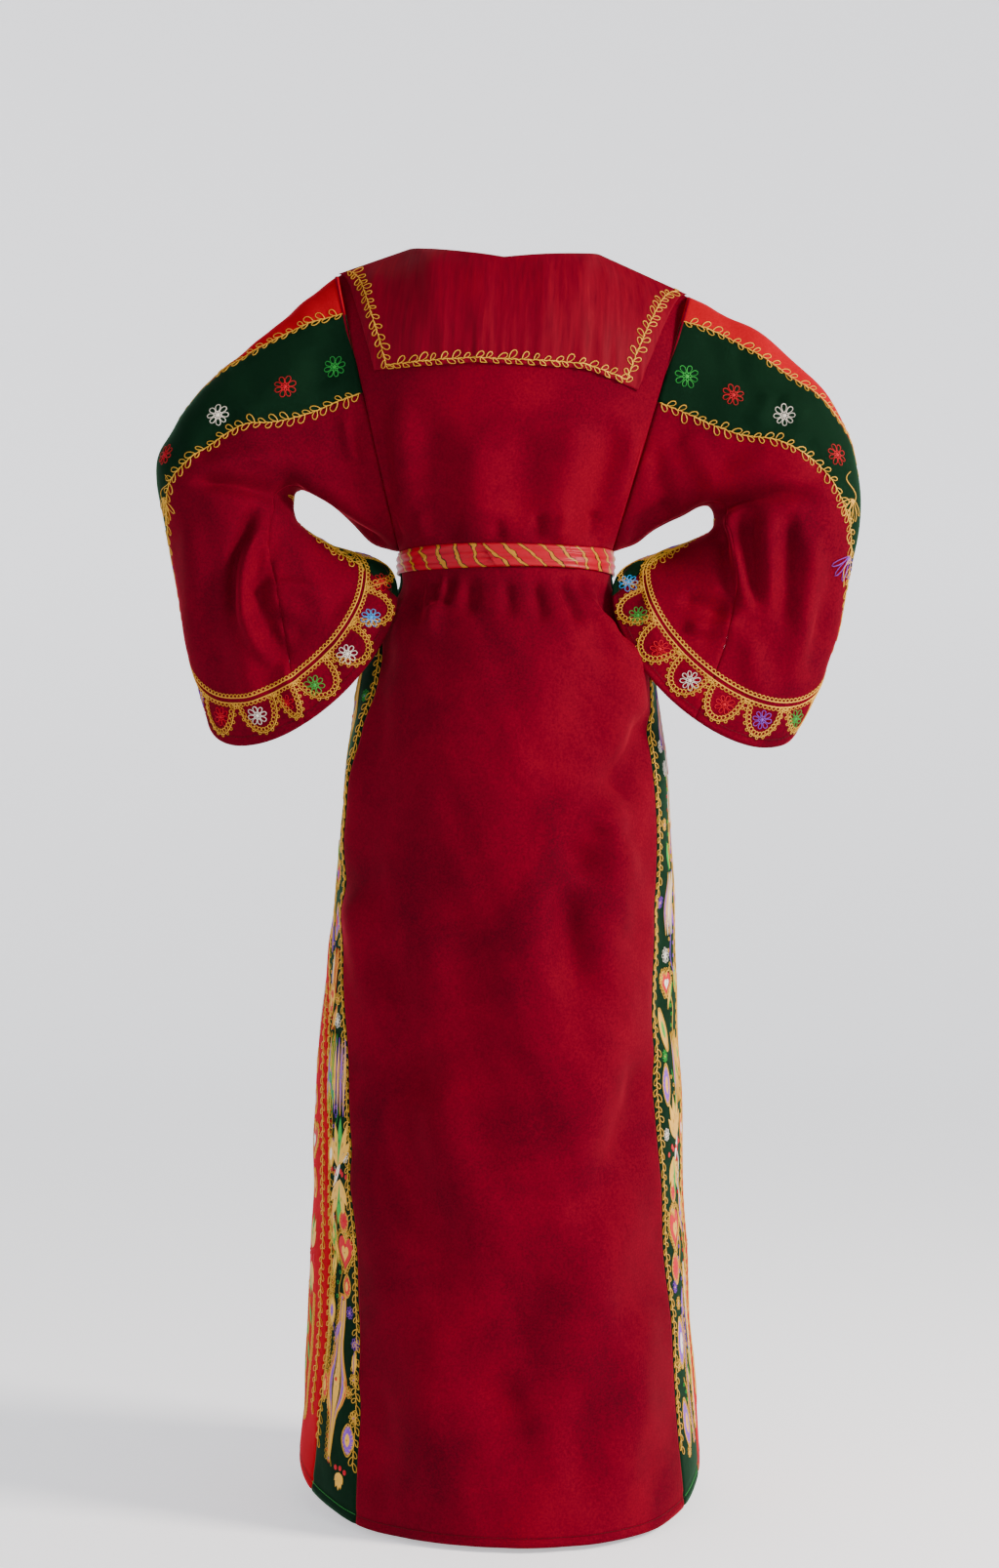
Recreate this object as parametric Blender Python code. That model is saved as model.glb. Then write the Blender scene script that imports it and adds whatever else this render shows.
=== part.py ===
"""Palestinian thobe as a hollow worn form: a velvet dress with wide sleeves, a square back yoke and a sash.

The cloth is a set of thin walls. Every wall is worked out from sections: the body has level sections with
a left, right, back and front reach, and each sleeve has stations from the armhole to the cuff, each with
an outer point, an inner point and the angles at which its five strips of cloth meet.
Frame: +Z up, the chest faces -Y, the back +Y, the wearer's left is +X, the origin is between the shoulders.
"""

from collections import namedtuple

import bmesh
import bpy
import numpy as np

# Driving sizes, in metres
VELVET = 0.0020
BRAID = 0.0012
YOKE_CLOTH = 0.0015
SASH_CLOTH = 0.0022
SEAM_GAP = 0.0003
YOKE_LIFT = 0.0011
BRAID_LIFT = 0.0020
BRAID_WIDTH = 0.009
SASH_LIFT = 0.0022
SASH_HEIGHT = 0.025
SASH_LEVEL = -0.345
SASH_HALF_WIDTH = 0.116
SASH_HALF_DEPTH = 0.088
SASH_MIDDLE_Z = -0.3360
SASH_FRONT_DROP = 0.0045
SASH_STEPS = 36
SASH_END_FROM = -40.0
SASH_END_TO = 6.0
CUFF_BAND_FROM_EDGE = 0.048
CUFF_BAND_CLEARANCE = 0.002
SHOULDER_NECK_X = 0.105
NECK_BACK_DEPTH = 0.055
NECK_FRONT_DEPTH = 0.085
NECK_FRONT_DROP = 0.105
SHOULDER_ROUND = 0.35
ARMHOLE_BOTTOM = -0.327
SEAM_WELD = 1.0e-5

# Level sections of the skirt, from the underarm to the hem. left, right: reach at the widest place, whose
# depth is wide; back, front: depth of the middle; lean: how far the back's middle sits off centre;
# rise: how far the front of the section is lifted
Section = namedtuple("Section", "z left right wide back front lean rise")
SKIRT = [
    Section(-0.3270, 0.1165, 0.1195, 0.000, 0.090, -0.085, 0.000, 0.000),
    Section(-0.3450, 0.1160, 0.1192, 0.000, 0.090, -0.086, 0.000, 0.000),
    Section(-0.3650, 0.1175, 0.1215, 0.000, 0.094, -0.091, 0.000, 0.000),
    Section(-0.3900, 0.1330, 0.1370, 0.000, 0.104, -0.101, 0.000, 0.000),
    Section(-0.4300, 0.1520, 0.1575, -0.005, 0.119, -0.113, 0.000, 0.001),
    Section(-0.4700, 0.1630, 0.1665, -0.010, 0.129, -0.122, 0.000, 0.001),
    Section(-0.5500, 0.1735, 0.1785, -0.020, 0.140, -0.135, 0.000, 0.003),
    Section(-0.6500, 0.1820, 0.1865, -0.032, 0.144, -0.150, 0.000, 0.005),
    Section(-0.8000, 0.2005, 0.1925, -0.050, 0.148, -0.178, -0.004, 0.010),
    Section(-0.9500, 0.2130, 0.1990, -0.068, 0.155, -0.212, -0.008, 0.016),
    Section(-1.1500, 0.2200, 0.2070, -0.090, 0.169, -0.255, -0.013, 0.027),
    Section(-1.3150, 0.2290, 0.2185, -0.106, 0.184, -0.295, -0.018, 0.037),
    Section(-1.3817, 0.2330, 0.2228, -0.110, 0.190, -0.310, -0.020, 0.042),
]

# Where the green side strips meet the back and the front panel: angle in degrees round the section,
# 0 at the middle of the back and 180 at the middle of the front
Seam = namedtuple("Seam", "z left_back left_front right_back right_front")
SEAMS = [
    Seam(-0.327, 88.3, 91.7, 88.3, 91.7),
    Seam(-0.365, 76.0, 103.0, 77.0, 103.0),
    Seam(-0.430, 64.4, 98.0, 66.2, 98.0),
    Seam(-0.550, 64.2, 92.0, 65.2, 93.0),
    Seam(-0.650, 68.0, 90.0, 63.5, 91.0),
    Seam(-0.750, 64.2, 82.0, 60.5, 88.0),
    Seam(-0.850, 58.0, 71.0, 56.0, 84.0),
    Seam(-0.950, 53.5, 67.0, 55.7, 81.0),
    Seam(-1.050, 48.6, 63.5, 56.3, 79.0),
    Seam(-1.150, 47.4, 63.0, 58.0, 77.5),
    Seam(-1.250, 47.0, 65.0, 58.7, 76.5),
    Seam(-1.315, 47.6, 66.5, 58.7, 76.0),
    Seam(-1.3817, 46.7, 68.0, 59.1, 77.0),
]
SKIRT_LEVELS = [-0.336, -0.350, -0.365, -0.390, -0.430, -0.470, -0.520, -0.580, -0.650, -0.730, -0.820,
                -0.910, -1.000, -1.100, -1.200, -1.300, -1.3817]

# Depth of the middle of the back and of the front, from the neck and shoulder line down to the underarm
Torso = namedtuple("Torso", "down back front")
TORSO = [
    Torso(0.00, 0.060, 0.088),
    Torso(0.05, 0.080, 0.100),
    Torso(0.16, 0.098, 0.108),
    Torso(0.35, 0.107, 0.117),
    Torso(0.60, 0.105, 0.112),
    Torso(0.85, 0.094, 0.092),
    Torso(1.00, 0.090, 0.085),
]

# Heights of the neck and shoulder line, from the right shoulder tip to the left one
SHOULDER_LINE_X = (-0.2032, -SHOULDER_NECK_X, 0.0, SHOULDER_NECK_X, 0.1848)
SHOULDER_LINE_Z = (-0.0432, 0.001, -0.011, 0.007, -0.0205)

# Sleeve stations from the armhole to the cuff, as they hang on bent arms with the hands at the waist.
# out: the shoulder and elbow side; in: the underarm and crook side; then the angles, in degrees from out
# over the back to in, where the top strip, back green strip, back and front lower panels (the underarm
# seam), and front green strip meet
Station = namedtuple("Station", "out_x out_z in_x in_z top green under dark front")
LEFT_SLEEVE = [
    Station(0.1848, -0.0205, 0.1165, -0.3270, 47, 84, 180, 276, 313),
    Station(0.2215, -0.0497, 0.1437, -0.3180, 39, 84, 178, 275, 307),
    Station(0.2615, -0.0832, 0.1675, -0.2961, 30, 86, 176, 272, 300),
    Station(0.3026, -0.1189, 0.1902, -0.2756, 18, 85, 172, 268, 290),
    Station(0.3371, -0.1524, 0.2075, -0.2648, 5, 76, 168, 262, 282),
    Station(0.3642, -0.1902, 0.2215, -0.2594, -8, 70, 163, 255, 275),
    Station(0.3805, -0.2205, 0.2285, -0.2620, -20, 61, 157, 246, 266),
    Station(0.3825, -0.2500, 0.2315, -0.2710, -33, 43, 148, 236, 256),
    Station(0.3745, -0.2929, 0.2315, -0.2835, -48, 23, 136, 222, 244),
    Station(0.3663, -0.3415, 0.2265, -0.2970, -62, 3, 122, 206, 232),
    Station(0.3554, -0.3977, 0.2100, -0.3105, -72, -12, 105, 190, 222),
    Station(0.3436, -0.4517, 0.1830, -0.3245, -78, -22, 88, 174, 214),
    Station(0.3318, -0.4896, 0.1560, -0.3340, -82, -29, 76, 162, 208),
    Station(0.3188, -0.5295, 0.1270, -0.3440, -85, -34, 67, 151, 202),
]
RIGHT_SLEEVE = [
    Station(0.2032, -0.0432, 0.1195, -0.3270, 40, 83, 180, 277, 320),
    Station(0.2464, -0.0649, 0.1480, -0.3160, 37, 86, 178, 275, 312),
    Station(0.2896, -0.0897, 0.1707, -0.3000, 39, 90, 176, 272, 304),
    Station(0.3274, -0.1232, 0.1945, -0.2870, 36, 90, 173, 268, 294),
    Station(0.3577, -0.1556, 0.2107, -0.2790, 28, 83, 169, 262, 284),
    Station(0.3781, -0.1945, 0.2225, -0.2765, 15, 73, 163, 255, 276),
    Station(0.3867, -0.2280, 0.2280, -0.2815, 0, 60, 156, 246, 268),
    Station(0.3923, -0.2658, 0.2295, -0.2910, -15, 49, 147, 236, 258),
    Station(0.3901, -0.3037, 0.2275, -0.3010, -32, 33, 136, 222, 246),
    Station(0.3835, -0.3415, 0.2150, -0.3130, -48, 18, 122, 206, 234),
    Station(0.3739, -0.3901, 0.1945, -0.3245, -62, 2, 106, 190, 224),
    Station(0.3620, -0.4366, 0.1700, -0.3330, -72, -12, 92, 176, 216),
    Station(0.3436, -0.4841, 0.1490, -0.3400, -79, -22, 82, 164, 210),
    Station(0.3188, -0.5317, 0.1285, -0.3470, -84, -30, 73, 154, 204),
]

# How the tube fills at each station. tilt: how far the back layer runs past the front one along the arm;
# back, front: reach of the two layers; mid: depth of the tube's middle
Fill = namedtuple("Fill", "tilt back front mid")
FILL = [
    Fill(0.000, 0.065, 0.065, 0.000),
    Fill(0.000, 0.063, 0.062, 0.002),
    Fill(0.000, 0.062, 0.060, 0.005),
    Fill(0.000, 0.062, 0.060, 0.008),
    Fill(0.000, 0.063, 0.062, 0.012),
    Fill(0.000, 0.065, 0.064, 0.015),
    Fill(0.000, 0.066, 0.065, 0.018),
    Fill(0.004, 0.066, 0.065, 0.020),
    Fill(0.010, 0.064, 0.062, 0.020),
    Fill(0.020, 0.061, 0.058, 0.020),
    Fill(0.033, 0.058, 0.053, 0.021),
    Fill(0.046, 0.054, 0.049, 0.023),
    Fill(0.057, 0.051, 0.046, 0.025),
    Fill(0.068, 0.048, 0.043, 0.027),
]

# The largest folds, each along a line from (x1, z1) to (x2, z2): reach to each side, and depth (ridges
# above zero, troughs below). side: 1 for the back of the garment, -1 for its front
Fold = namedtuple("Fold", "x1 z1 x2 z2 reach depth side")
SLEEVE_FOLDS = [
    Fold(0.235, -0.275, 0.330, -0.262, 0.020, -0.012, 1),
    Fold(0.240, -0.300, 0.300, -0.450, 0.022, -0.014, 1),
    Fold(0.262, -0.315, 0.245, -0.480, 0.020, 0.010, 1),
    Fold(0.235, -0.270, 0.330, -0.290, 0.022, -0.012, -1),
    Fold(0.245, -0.300, 0.310, -0.430, 0.022, -0.010, -1),
]
SKIRT_FOLDS = [
    Fold(0.150, -0.480, 0.170, -0.760, 0.030, -0.006, 1),
    Fold(-0.150, -0.500, -0.085, -0.800, 0.035, -0.009, 1),
    Fold(0.150, -0.780, 0.060, -1.120, 0.040, -0.007, 1),
    Fold(0.120, -0.480, 0.090, -0.900, 0.040, -0.008, -1),
    Fold(-0.120, -0.480, -0.070, -1.000, 0.040, -0.008, -1),
]

# Column positions across a body panel, as shares of its half width
ACROSS = np.array([-1.0, -0.86, -0.70, -0.52, -0.346, -0.18, 0.0, 0.20, 0.385, 0.54, 0.70, 0.86, 1.0])
STRIP_ACROSS = np.linspace(0.0, 1.0, 4)

# Facets round each strip of a sleeve, in order from the top strip over the back to the front strip
SLEEVE_PIECES = {"top_stripe": 4, "back_stripe": 3, "back_lower": 5, "front_lower": 5, "front_stripe": 3}

# The four braids of a sleeve, and the strip that each one starts at
SLEEVE_BRAIDS = {"back_upper": "back_stripe", "back_lower": "back_lower",
                 "front_lower": "front_stripe", "front_upper": "top_stripe"}
BRAID_STEP = 0.5
BRAID_START = 0.03
BRAID_SPARE = 0.2

# Yoke flap: how much of the armhole-to-armhole width it takes at the top and at the bottom, on the left
# and on the right, and the height of its lower edge from right to left
YOKE_LEFT_SHARE = (0.905, 0.835)
YOKE_RIGHT_SHARE = (0.915, 0.805)
YOKE_HEM_X = (-0.140, -0.112, -0.080, 0.140)
YOKE_HEM_Z = (-0.160, -0.148, -0.137, -0.136)
YOKE_ROWS = 6
YOKE_LAST_ROW_SPARE = 0.3

VELVET_RED = (0.235, 0.006, 0.012)
BRIGHT_RED = (0.420, 0.006, 0.014)
VELVET_GREEN = (0.012, 0.036, 0.018)
SATIN_RED = (0.300, 0.008, 0.018)
SASH_RED = (0.520, 0.025, 0.050)
GOLD = (0.640, 0.440, 0.120)


def column(rows, name):
    """One named column of a table, as an array."""
    return np.array([getattr(row, name) for row in rows], float)


def smooth(knots, values, at):
    """Value at a place along a table: a cubic between two rows, with the slopes of the rows about them."""
    if knots[0] > knots[-1]:
        knots, values = knots[::-1], values[::-1]
    at = np.clip(at, knots[0], knots[-1])
    slope = np.gradient(values, knots)
    i = np.clip(np.searchsorted(knots, at, side="right") - 1, 0, len(knots) - 2)
    step = knots[i + 1] - knots[i]
    t = (at - knots[i]) / step
    start = (1 + 2 * t) * (1 - t) ** 2 * values[i] + t * (1 - t) ** 2 * step * slope[i]
    return start + t**2 * (3 - 2 * t) * values[i + 1] - t**2 * (1 - t) * step * slope[i + 1]


def ease(t):
    """0 to 1 with a soft start and end."""
    t = np.clip(t, 0.0, 1.0)
    return t * t * (3 - 2 * t)


def fold_depth(folds, x, z):
    """Sum of the folds at (x, z) for the back and for the front: a bell across each line, eased at its ends."""
    sides = {1: np.zeros(np.broadcast(x, z).shape), -1: np.zeros(np.broadcast(x, z).shape)}
    for fold in folds:
        dx, dz = fold.x2 - fold.x1, fold.z2 - fold.z1
        length = np.hypot(dx, dz)
        share = ((x - fold.x1) * dx + (z - fold.z1) * dz) / length**2
        away = ((x - fold.x1) * dz - (z - fold.z1) * dx) / length
        beyond = np.maximum(np.maximum(-share, share - 1), 0) * length
        sides[fold.side] += fold.depth * np.exp(-(away**2 + beyond**2) / fold.reach**2)
    return sides[1], sides[-1]


def skirt_points(level, angle):
    """Points of the skirt's section at a level: a half ellipse behind the widest place and one before it."""
    z, angle = np.broadcast_arrays(np.asarray(level, float), np.radians(angle))
    read = {name: smooth(column(SKIRT, "z"), column(SKIRT, name), z) for name in Section._fields[1:]}
    behind = np.maximum(np.cos(angle), 0)
    ahead = np.maximum(-np.cos(angle), 0)
    half = np.where(angle >= 0, read["left"], read["right"])
    x = half * np.sin(angle) + read["lean"] * behind**2
    y = read["wide"] + (read["back"] - read["wide"]) * behind - (read["wide"] - read["front"]) * ahead
    forward = (read["back"] - y) / (read["back"] - read["front"])
    back_fold, front_fold = fold_depth(SKIRT_FOLDS, x, z)
    y = y + back_fold * behind - front_fold * ahead
    return np.stack([x, y, z + read["rise"] * ease((forward - 0.1) / 0.6)], axis=-1)


def seam_angle(level, name):
    """Angle of a side strip's seam at a level."""
    return smooth(column(SEAMS, "z"), column(SEAMS, name), np.asarray(level, float))


def armhole_angles(stations):
    """Angles down the back half of an armhole: the joints of the sleeve's strips, evenly split between."""
    first = stations[0]
    return np.concatenate([np.linspace(0, first.top, 3), np.linspace(first.top, first.green, 4)[1:],
                           np.linspace(first.green, first.under, 6)[1:]])


def torso_points(facing):
    """Grid of the torso's back (facing 1) or front (-1): rows down from the shoulder line, ACROSS columns.

    A row is part of an ellipse whose ends lie on the two armholes; the first row is the neck and
    shoulder line, and the rows ease from it into the ellipse."""
    across = ACROSS[None, :]
    left, right = (np.radians(armhole_angles(s))[:, None] for s in (LEFT_SLEEVE, RIGHT_SLEEVE))
    toward_left = (1 + across) / 2
    down = (1 - (np.cos(left) * toward_left + np.cos(right) * (1 - toward_left))) / 2
    top_half = np.where(across > 0, LEFT_SLEEVE[0].out_x, RIGHT_SLEEVE[0].out_x)
    low_half = np.where(across > 0, LEFT_SLEEVE[0].in_x, RIGHT_SLEEVE[0].in_x)
    half = top_half + (low_half - top_half) * down
    ends = FILL[0].back * np.where(across > 0, np.sin(left), np.sin(right))
    middle = smooth(column(TORSO, "down"), column(TORSO, "back" if facing > 0 else "front"), down)
    spread = np.arccos(np.clip(ends / middle, 0, 1))
    x = half * np.sin(across * spread) / np.sin(spread)
    y = middle * np.cos(across * spread)
    neck = np.clip(1 - (x / SHOULDER_NECK_X) ** 2, 0, 1)
    line_y = (NECK_BACK_DEPTH if facing > 0 else NECK_FRONT_DEPTH) * neck
    y = line_y + (y - line_y) * np.sqrt(1 - (1 - np.clip(down / SHOULDER_ROUND, 0, 1)) ** 2)
    y = np.where(np.abs(across) == 1, ends, y)
    first_x = top_half * np.sin(across * np.pi / 2)
    line_z = np.interp(first_x, SHOULDER_LINE_X, SHOULDER_LINE_Z)
    if facing < 0:
        line_z = line_z - NECK_FRONT_DROP * np.clip(1 - (first_x / SHOULDER_NECK_X) ** 2, 0, 1) ** 0.8
    z = line_z + (ARMHOLE_BOTTOM - line_z) * down
    return np.stack([x, facing * y, z], axis=-1)[:-1]


def body_panel(facing):
    """Back or front panel in one piece, from the neck and shoulders to the hem."""
    levels = np.array([ARMHOLE_BOTTOM, *SKIRT_LEVELS])[:, None]
    edge = "back" if facing > 0 else "front"
    left, right = seam_angle(levels, "left_" + edge), seam_angle(levels, "right_" + edge)
    if facing > 0:
        angle = ACROSS * np.where(ACROSS > 0, left, right)
    else:
        angle = np.where(ACROSS > 0, 180 - ACROSS * (180 - left), -180 - ACROSS * (180 - right))
    return np.concatenate([torso_points(facing), skirt_points(levels, angle)])


def side_strip(side):
    """Green strip between the back and the front panel, from the underarm to the hem."""
    levels = np.array([ARMHOLE_BOTTOM, *SKIRT_LEVELS])[:, None]
    name = "left" if side > 0 else "right"
    start, end = seam_angle(levels, name + "_back"), seam_angle(levels, name + "_front")
    return skirt_points(levels, side * (start + (end - start) * STRIP_ACROSS))


def sleeve_angles(row):
    """Angles round one station: the top strip first, then over the back, the underarm and the front."""
    joints = [row.front - 360, row.top, row.green, row.under, row.dark, row.front]
    parts = [np.linspace(a, b, n + 1)[:-1] for a, b, n in zip(joints, joints[1:], SLEEVE_PIECES.values())]
    return np.concatenate([*parts, [joints[-1]]])


def sleeve_points(stations, side):
    """Closed rings of a sleeve. A ring is an ellipse from the outer to the inner point, as deep as its
    fill, with its back layer run past the front one by the tilt."""
    rings = []
    for row, fill in zip(stations, FILL):
        angle = np.radians(sleeve_angles(row))
        outer, inner = np.array([row.out_x, row.out_z]), np.array([row.in_x, row.in_z])
        middle, reach = (outer + inner) / 2, (outer - inner) / 2
        past = np.array([reach[1], -reach[0]]) / np.hypot(*reach)
        depth = np.where(np.sin(angle) > 0, fill.back, fill.front) * np.sin(angle)
        flat = middle + reach * np.cos(angle)[:, None] + past * (fill.tilt * np.sin(angle))[:, None]
        back_fold, front_fold = fold_depth(SLEEVE_FOLDS, flat[:, 0], flat[:, 1])
        folds = back_fold * np.clip(np.sin(angle), 0, 1) + front_fold * np.clip(np.sin(angle), -1, 0)
        rings.append(np.stack([side * flat[:, 0], fill.mid + depth + folds, flat[:, 1]], axis=-1))
    return np.array(rings)


def lay_on(grid, row, place):
    """Points on a panel's own triangles, at a row and a column given as decimal numbers."""
    row = np.clip(row, 0, grid.shape[0] - 1.000001)
    place = np.clip(place, 0, grid.shape[1] - 1.000001)
    i, j = row.astype(int), place.astype(int)
    u, v = (row - i)[..., None], (place - j)[..., None]
    near, far = grid[i, j], grid[i + 1, j + 1]
    upper = near + v * (grid[i, j + 1] - near) + u * (far - grid[i, j + 1])
    lower = near + u * (grid[i + 1, j] - near) + v * (far - grid[i + 1, j])
    return np.where(v >= u, upper, lower)


def triangles(rows, columns):
    """Triangles of a grid, all cut the same way, as three point numbers each."""
    i, j = np.meshgrid(np.arange(rows - 1), np.arange(columns - 1), indexing="ij")
    a = (i * columns + j).ravel()
    b, c, d = a + 1, a + columns, a + columns + 1
    return np.concatenate([np.stack([a, b, d], 1), np.stack([a, d, c], 1)])


def sewn_normals(panels, outward):
    """Normals of all panels as if they were one cloth, so that two panels agree along their seam."""
    points = np.concatenate([panels[name].reshape(-1, 3) for name in panels])
    keys, same = np.unique(np.round(points / SEAM_WELD).astype(np.int64), axis=0, return_inverse=True)
    same = same.ravel()
    total = np.zeros((len(keys), 3))
    start = 0
    for name, grid in panels.items():
        rows, columns = grid.shape[:2]
        tri = triangles(rows, columns)
        flat = grid.reshape(-1, 3)
        normal = np.cross(flat[tri[:, 1]] - flat[tri[:, 0]], flat[tri[:, 2]] - flat[tri[:, 0]]) * outward[name]
        for corner in range(3):
            np.add.at(total, same[start + tri[:, corner]], normal)
        start += rows * columns
    total /= np.maximum(np.linalg.norm(total, axis=1, keepdims=True), 1e-12)
    normals, start = {}, 0
    for name, grid in panels.items():
        count = grid.shape[0] * grid.shape[1]
        normals[name] = total[same[start:start + count]].reshape(grid.shape)
        start += count
    return normals


def trimmed(grid, gap):
    """The panel with each of its four edges drawn in by half a seam gap."""
    grid = grid.copy()
    for rows_first in (True, False):
        work = grid if rows_first else grid.swapaxes(0, 1)
        for edge, inside in ((0, 1), (-1, -2)):
            step = work[inside] - work[edge]
            length = np.maximum(np.linalg.norm(step, axis=-1, keepdims=True), 1e-9)
            work[edge] += step / length * gap / 2
    return grid


def make_material(name, colour, roughness, metallic=0.0):
    material = bpy.data.materials.new(name)
    material.use_nodes = True
    shader = material.node_tree.nodes["Principled BSDF"]
    shader.inputs["Base Color"].default_value = (*colour, 1.0)
    shader.inputs["Roughness"].default_value = roughness
    shader.inputs["Metallic"].default_value = metallic
    return material


def make_wall(name, outer, inner, material, closed=False):
    """Closed solid between two grids of points; a closed one is a ring whose last column meets its first."""
    rows, columns = outer.shape[:2]
    if closed:
        outer, inner = np.concatenate([outer, outer[:, :1]], 1), np.concatenate([inner, inner[:, :1]], 1)
        columns += 1
    count = rows * columns
    tri = triangles(rows, columns)
    number = np.arange(count).reshape(rows, columns)
    edges = [number[0], number[-1][::-1]]
    if not closed:
        edges += [number[:, -1], number[::-1, 0]]
    faces = [tri, tri[:, ::-1] + count]
    for edge in edges:
        a, b = edge[:-1], edge[1:]
        faces += [np.stack([b, a, a + count], 1), np.stack([b, a + count, b + count], 1)]
    mesh = bpy.data.meshes.new(name)
    points = np.concatenate([outer.reshape(-1, 3), inner.reshape(-1, 3)])
    mesh.from_pydata(points.tolist(), [], np.concatenate(faces).tolist())
    shape = bmesh.new()
    shape.from_mesh(mesh)
    bmesh.ops.remove_doubles(shape, verts=shape.verts, dist=SEAM_WELD)
    bmesh.ops.recalc_face_normals(shape, faces=shape.faces)
    if shape.calc_volume(signed=True) < 0:
        bmesh.ops.reverse_faces(shape, faces=shape.faces)
    shape.to_mesh(mesh)
    shape.free()
    mesh.materials.append(material)
    thing = bpy.data.objects.new(name, mesh)
    bpy.context.scene.collection.objects.link(thing)
    return thing


def clear_scene():
    for thing in list(bpy.data.objects):
        bpy.data.objects.remove(thing)


def dress_panels():
    """All velvet panels as grids of points, and which way round each grid has to turn to face outwards."""
    panels, outward = {}, {}
    for name, facing in (("back_panel", 1), ("front_panel", -1)):
        panels[name], outward[name] = body_panel(facing), facing
    for name, side in (("side_strip_left", 1), ("side_strip_right", -1)):
        panels[name], outward[name] = side_strip(side), side
    for word, stations, side in (("left", LEFT_SLEEVE, 1), ("right", RIGHT_SLEEVE, -1)):
        rings = sleeve_points(stations, side)
        start = 0
        for piece, count in SLEEVE_PIECES.items():
            name = f"sleeve_{word}_{piece}"
            panels[name], outward[name] = rings[:, start:start + count + 1], -side
            start += count
    return panels, outward


PANEL_LOOKS = {
    "back_panel": "velvet_red", "front_panel": "velvet_bright", "side_strip": "velvet_green",
    "top_stripe": "velvet_bright", "back_stripe": "velvet_green", "front_stripe": "velvet_green",
    "back_lower": "velvet_red", "front_lower": "velvet_red",
}


def build_panels(panels, normals, materials):
    for name, grid in panels.items():
        look = next(PANEL_LOOKS[key] for key in PANEL_LOOKS if key in name)
        make_wall(name, trimmed(grid, SEAM_GAP), trimmed(grid - normals[name] * VELVET, SEAM_GAP),
                  materials[look])


def yoke_places(grid):
    """Rows and columns of the yoke flap as decimal places on the back panel's grid."""
    torso_rows = len(armhole_angles(LEFT_SLEEVE)) - 1
    torso = grid[:torso_rows]
    numbers = np.arange(len(ACROSS))
    rows = []
    for level, share in enumerate(np.linspace(0, 1, YOKE_ROWS)):
        left = YOKE_LEFT_SHARE[0] + (YOKE_LEFT_SHARE[1] - YOKE_LEFT_SHARE[0]) * share
        right = YOKE_RIGHT_SHARE[0] + (YOKE_RIGHT_SHARE[1] - YOKE_RIGHT_SHARE[0]) * share
        x = torso[level, :, 0]
        rows.append(np.concatenate([[np.interp(x[0] * right, x, numbers)], numbers[2:-2],
                                    [np.interp(x[-1] * left, x, numbers)]]))
    columns = np.array(rows)
    places = np.repeat(np.arange(float(YOKE_ROWS))[:, None], columns.shape[1], axis=1)
    depth = np.arange(float(torso_rows))
    for j, place in enumerate(columns[-1]):
        line = lay_on(torso, depth, np.full(torso_rows, place))
        hem = np.interp(line[YOKE_ROWS - 2, 0], YOKE_HEM_X, YOKE_HEM_Z)
        places[-1, j] = np.interp(-hem, -line[:, 2], depth)
        places[-2, j] = min(places[-2, j], places[-1, j] - YOKE_LAST_ROW_SPARE)
    return places, columns


def build_yoke(grid, normal, materials):
    """Square satin flap on the back, and the gold braid along its three free edges."""
    places, columns = yoke_places(grid)
    base = lay_on(grid, places, columns)
    out = lay_on(normal, places, columns)
    out /= np.linalg.norm(out, axis=-1, keepdims=True)
    inner = base + out * YOKE_LIFT
    outer = inner + out * YOKE_CLOTH
    make_wall("yoke_flap", outer, inner, materials["satin"])
    last_row, last_column = base.shape[0] - 1, base.shape[1] - 1
    path = [(i, last_column) for i in range(1, last_row)]
    path += [(last_row, j) for j in range(last_column, -1, -1)]
    path += [(i, 0) for i in range(last_row - 1, 0, -1)]
    path = np.array(path, float)
    across = BRAID_WIDTH / np.linalg.norm(outer[:, 1] - outer[:, 0], axis=-1).mean()
    drop = BRAID_WIDTH / np.linalg.norm(outer[-1] - outer[-2], axis=-1).mean()
    inside = path.copy()
    inside[:, 0] = np.minimum(path[:, 0], last_row - drop)
    inside[:, 1] = np.clip(path[:, 1], across, last_column - across)
    low = np.array([lay_on(outer, places[:, 0], places[:, 1]) for places in (path, inside)])
    up = np.array([lay_on(out, places[:, 0], places[:, 1]) for places in (path, inside)])
    low = low + up * BRAID_LIFT
    make_wall("yoke_braid", low + up * BRAID, low, materials["braid"])


def edge_distance(grid):
    """Length of cloth from each point of a sleeve to its cuff edge, along the sleeve."""
    step = np.linalg.norm(np.diff(grid, axis=0), axis=-1)
    total = np.concatenate([np.cumsum(step[::-1], axis=0)[::-1], np.zeros((1, grid.shape[1]))])
    return total


def band_rows(grid, distance):
    """Decimal row, for each column of a sleeve, at a distance from the cuff edge."""
    total = edge_distance(grid)
    numbers = np.arange(grid.shape[0], dtype=float)
    return np.array([np.interp(-distance, -total[:, j], numbers) for j in range(grid.shape[1])])


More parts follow.
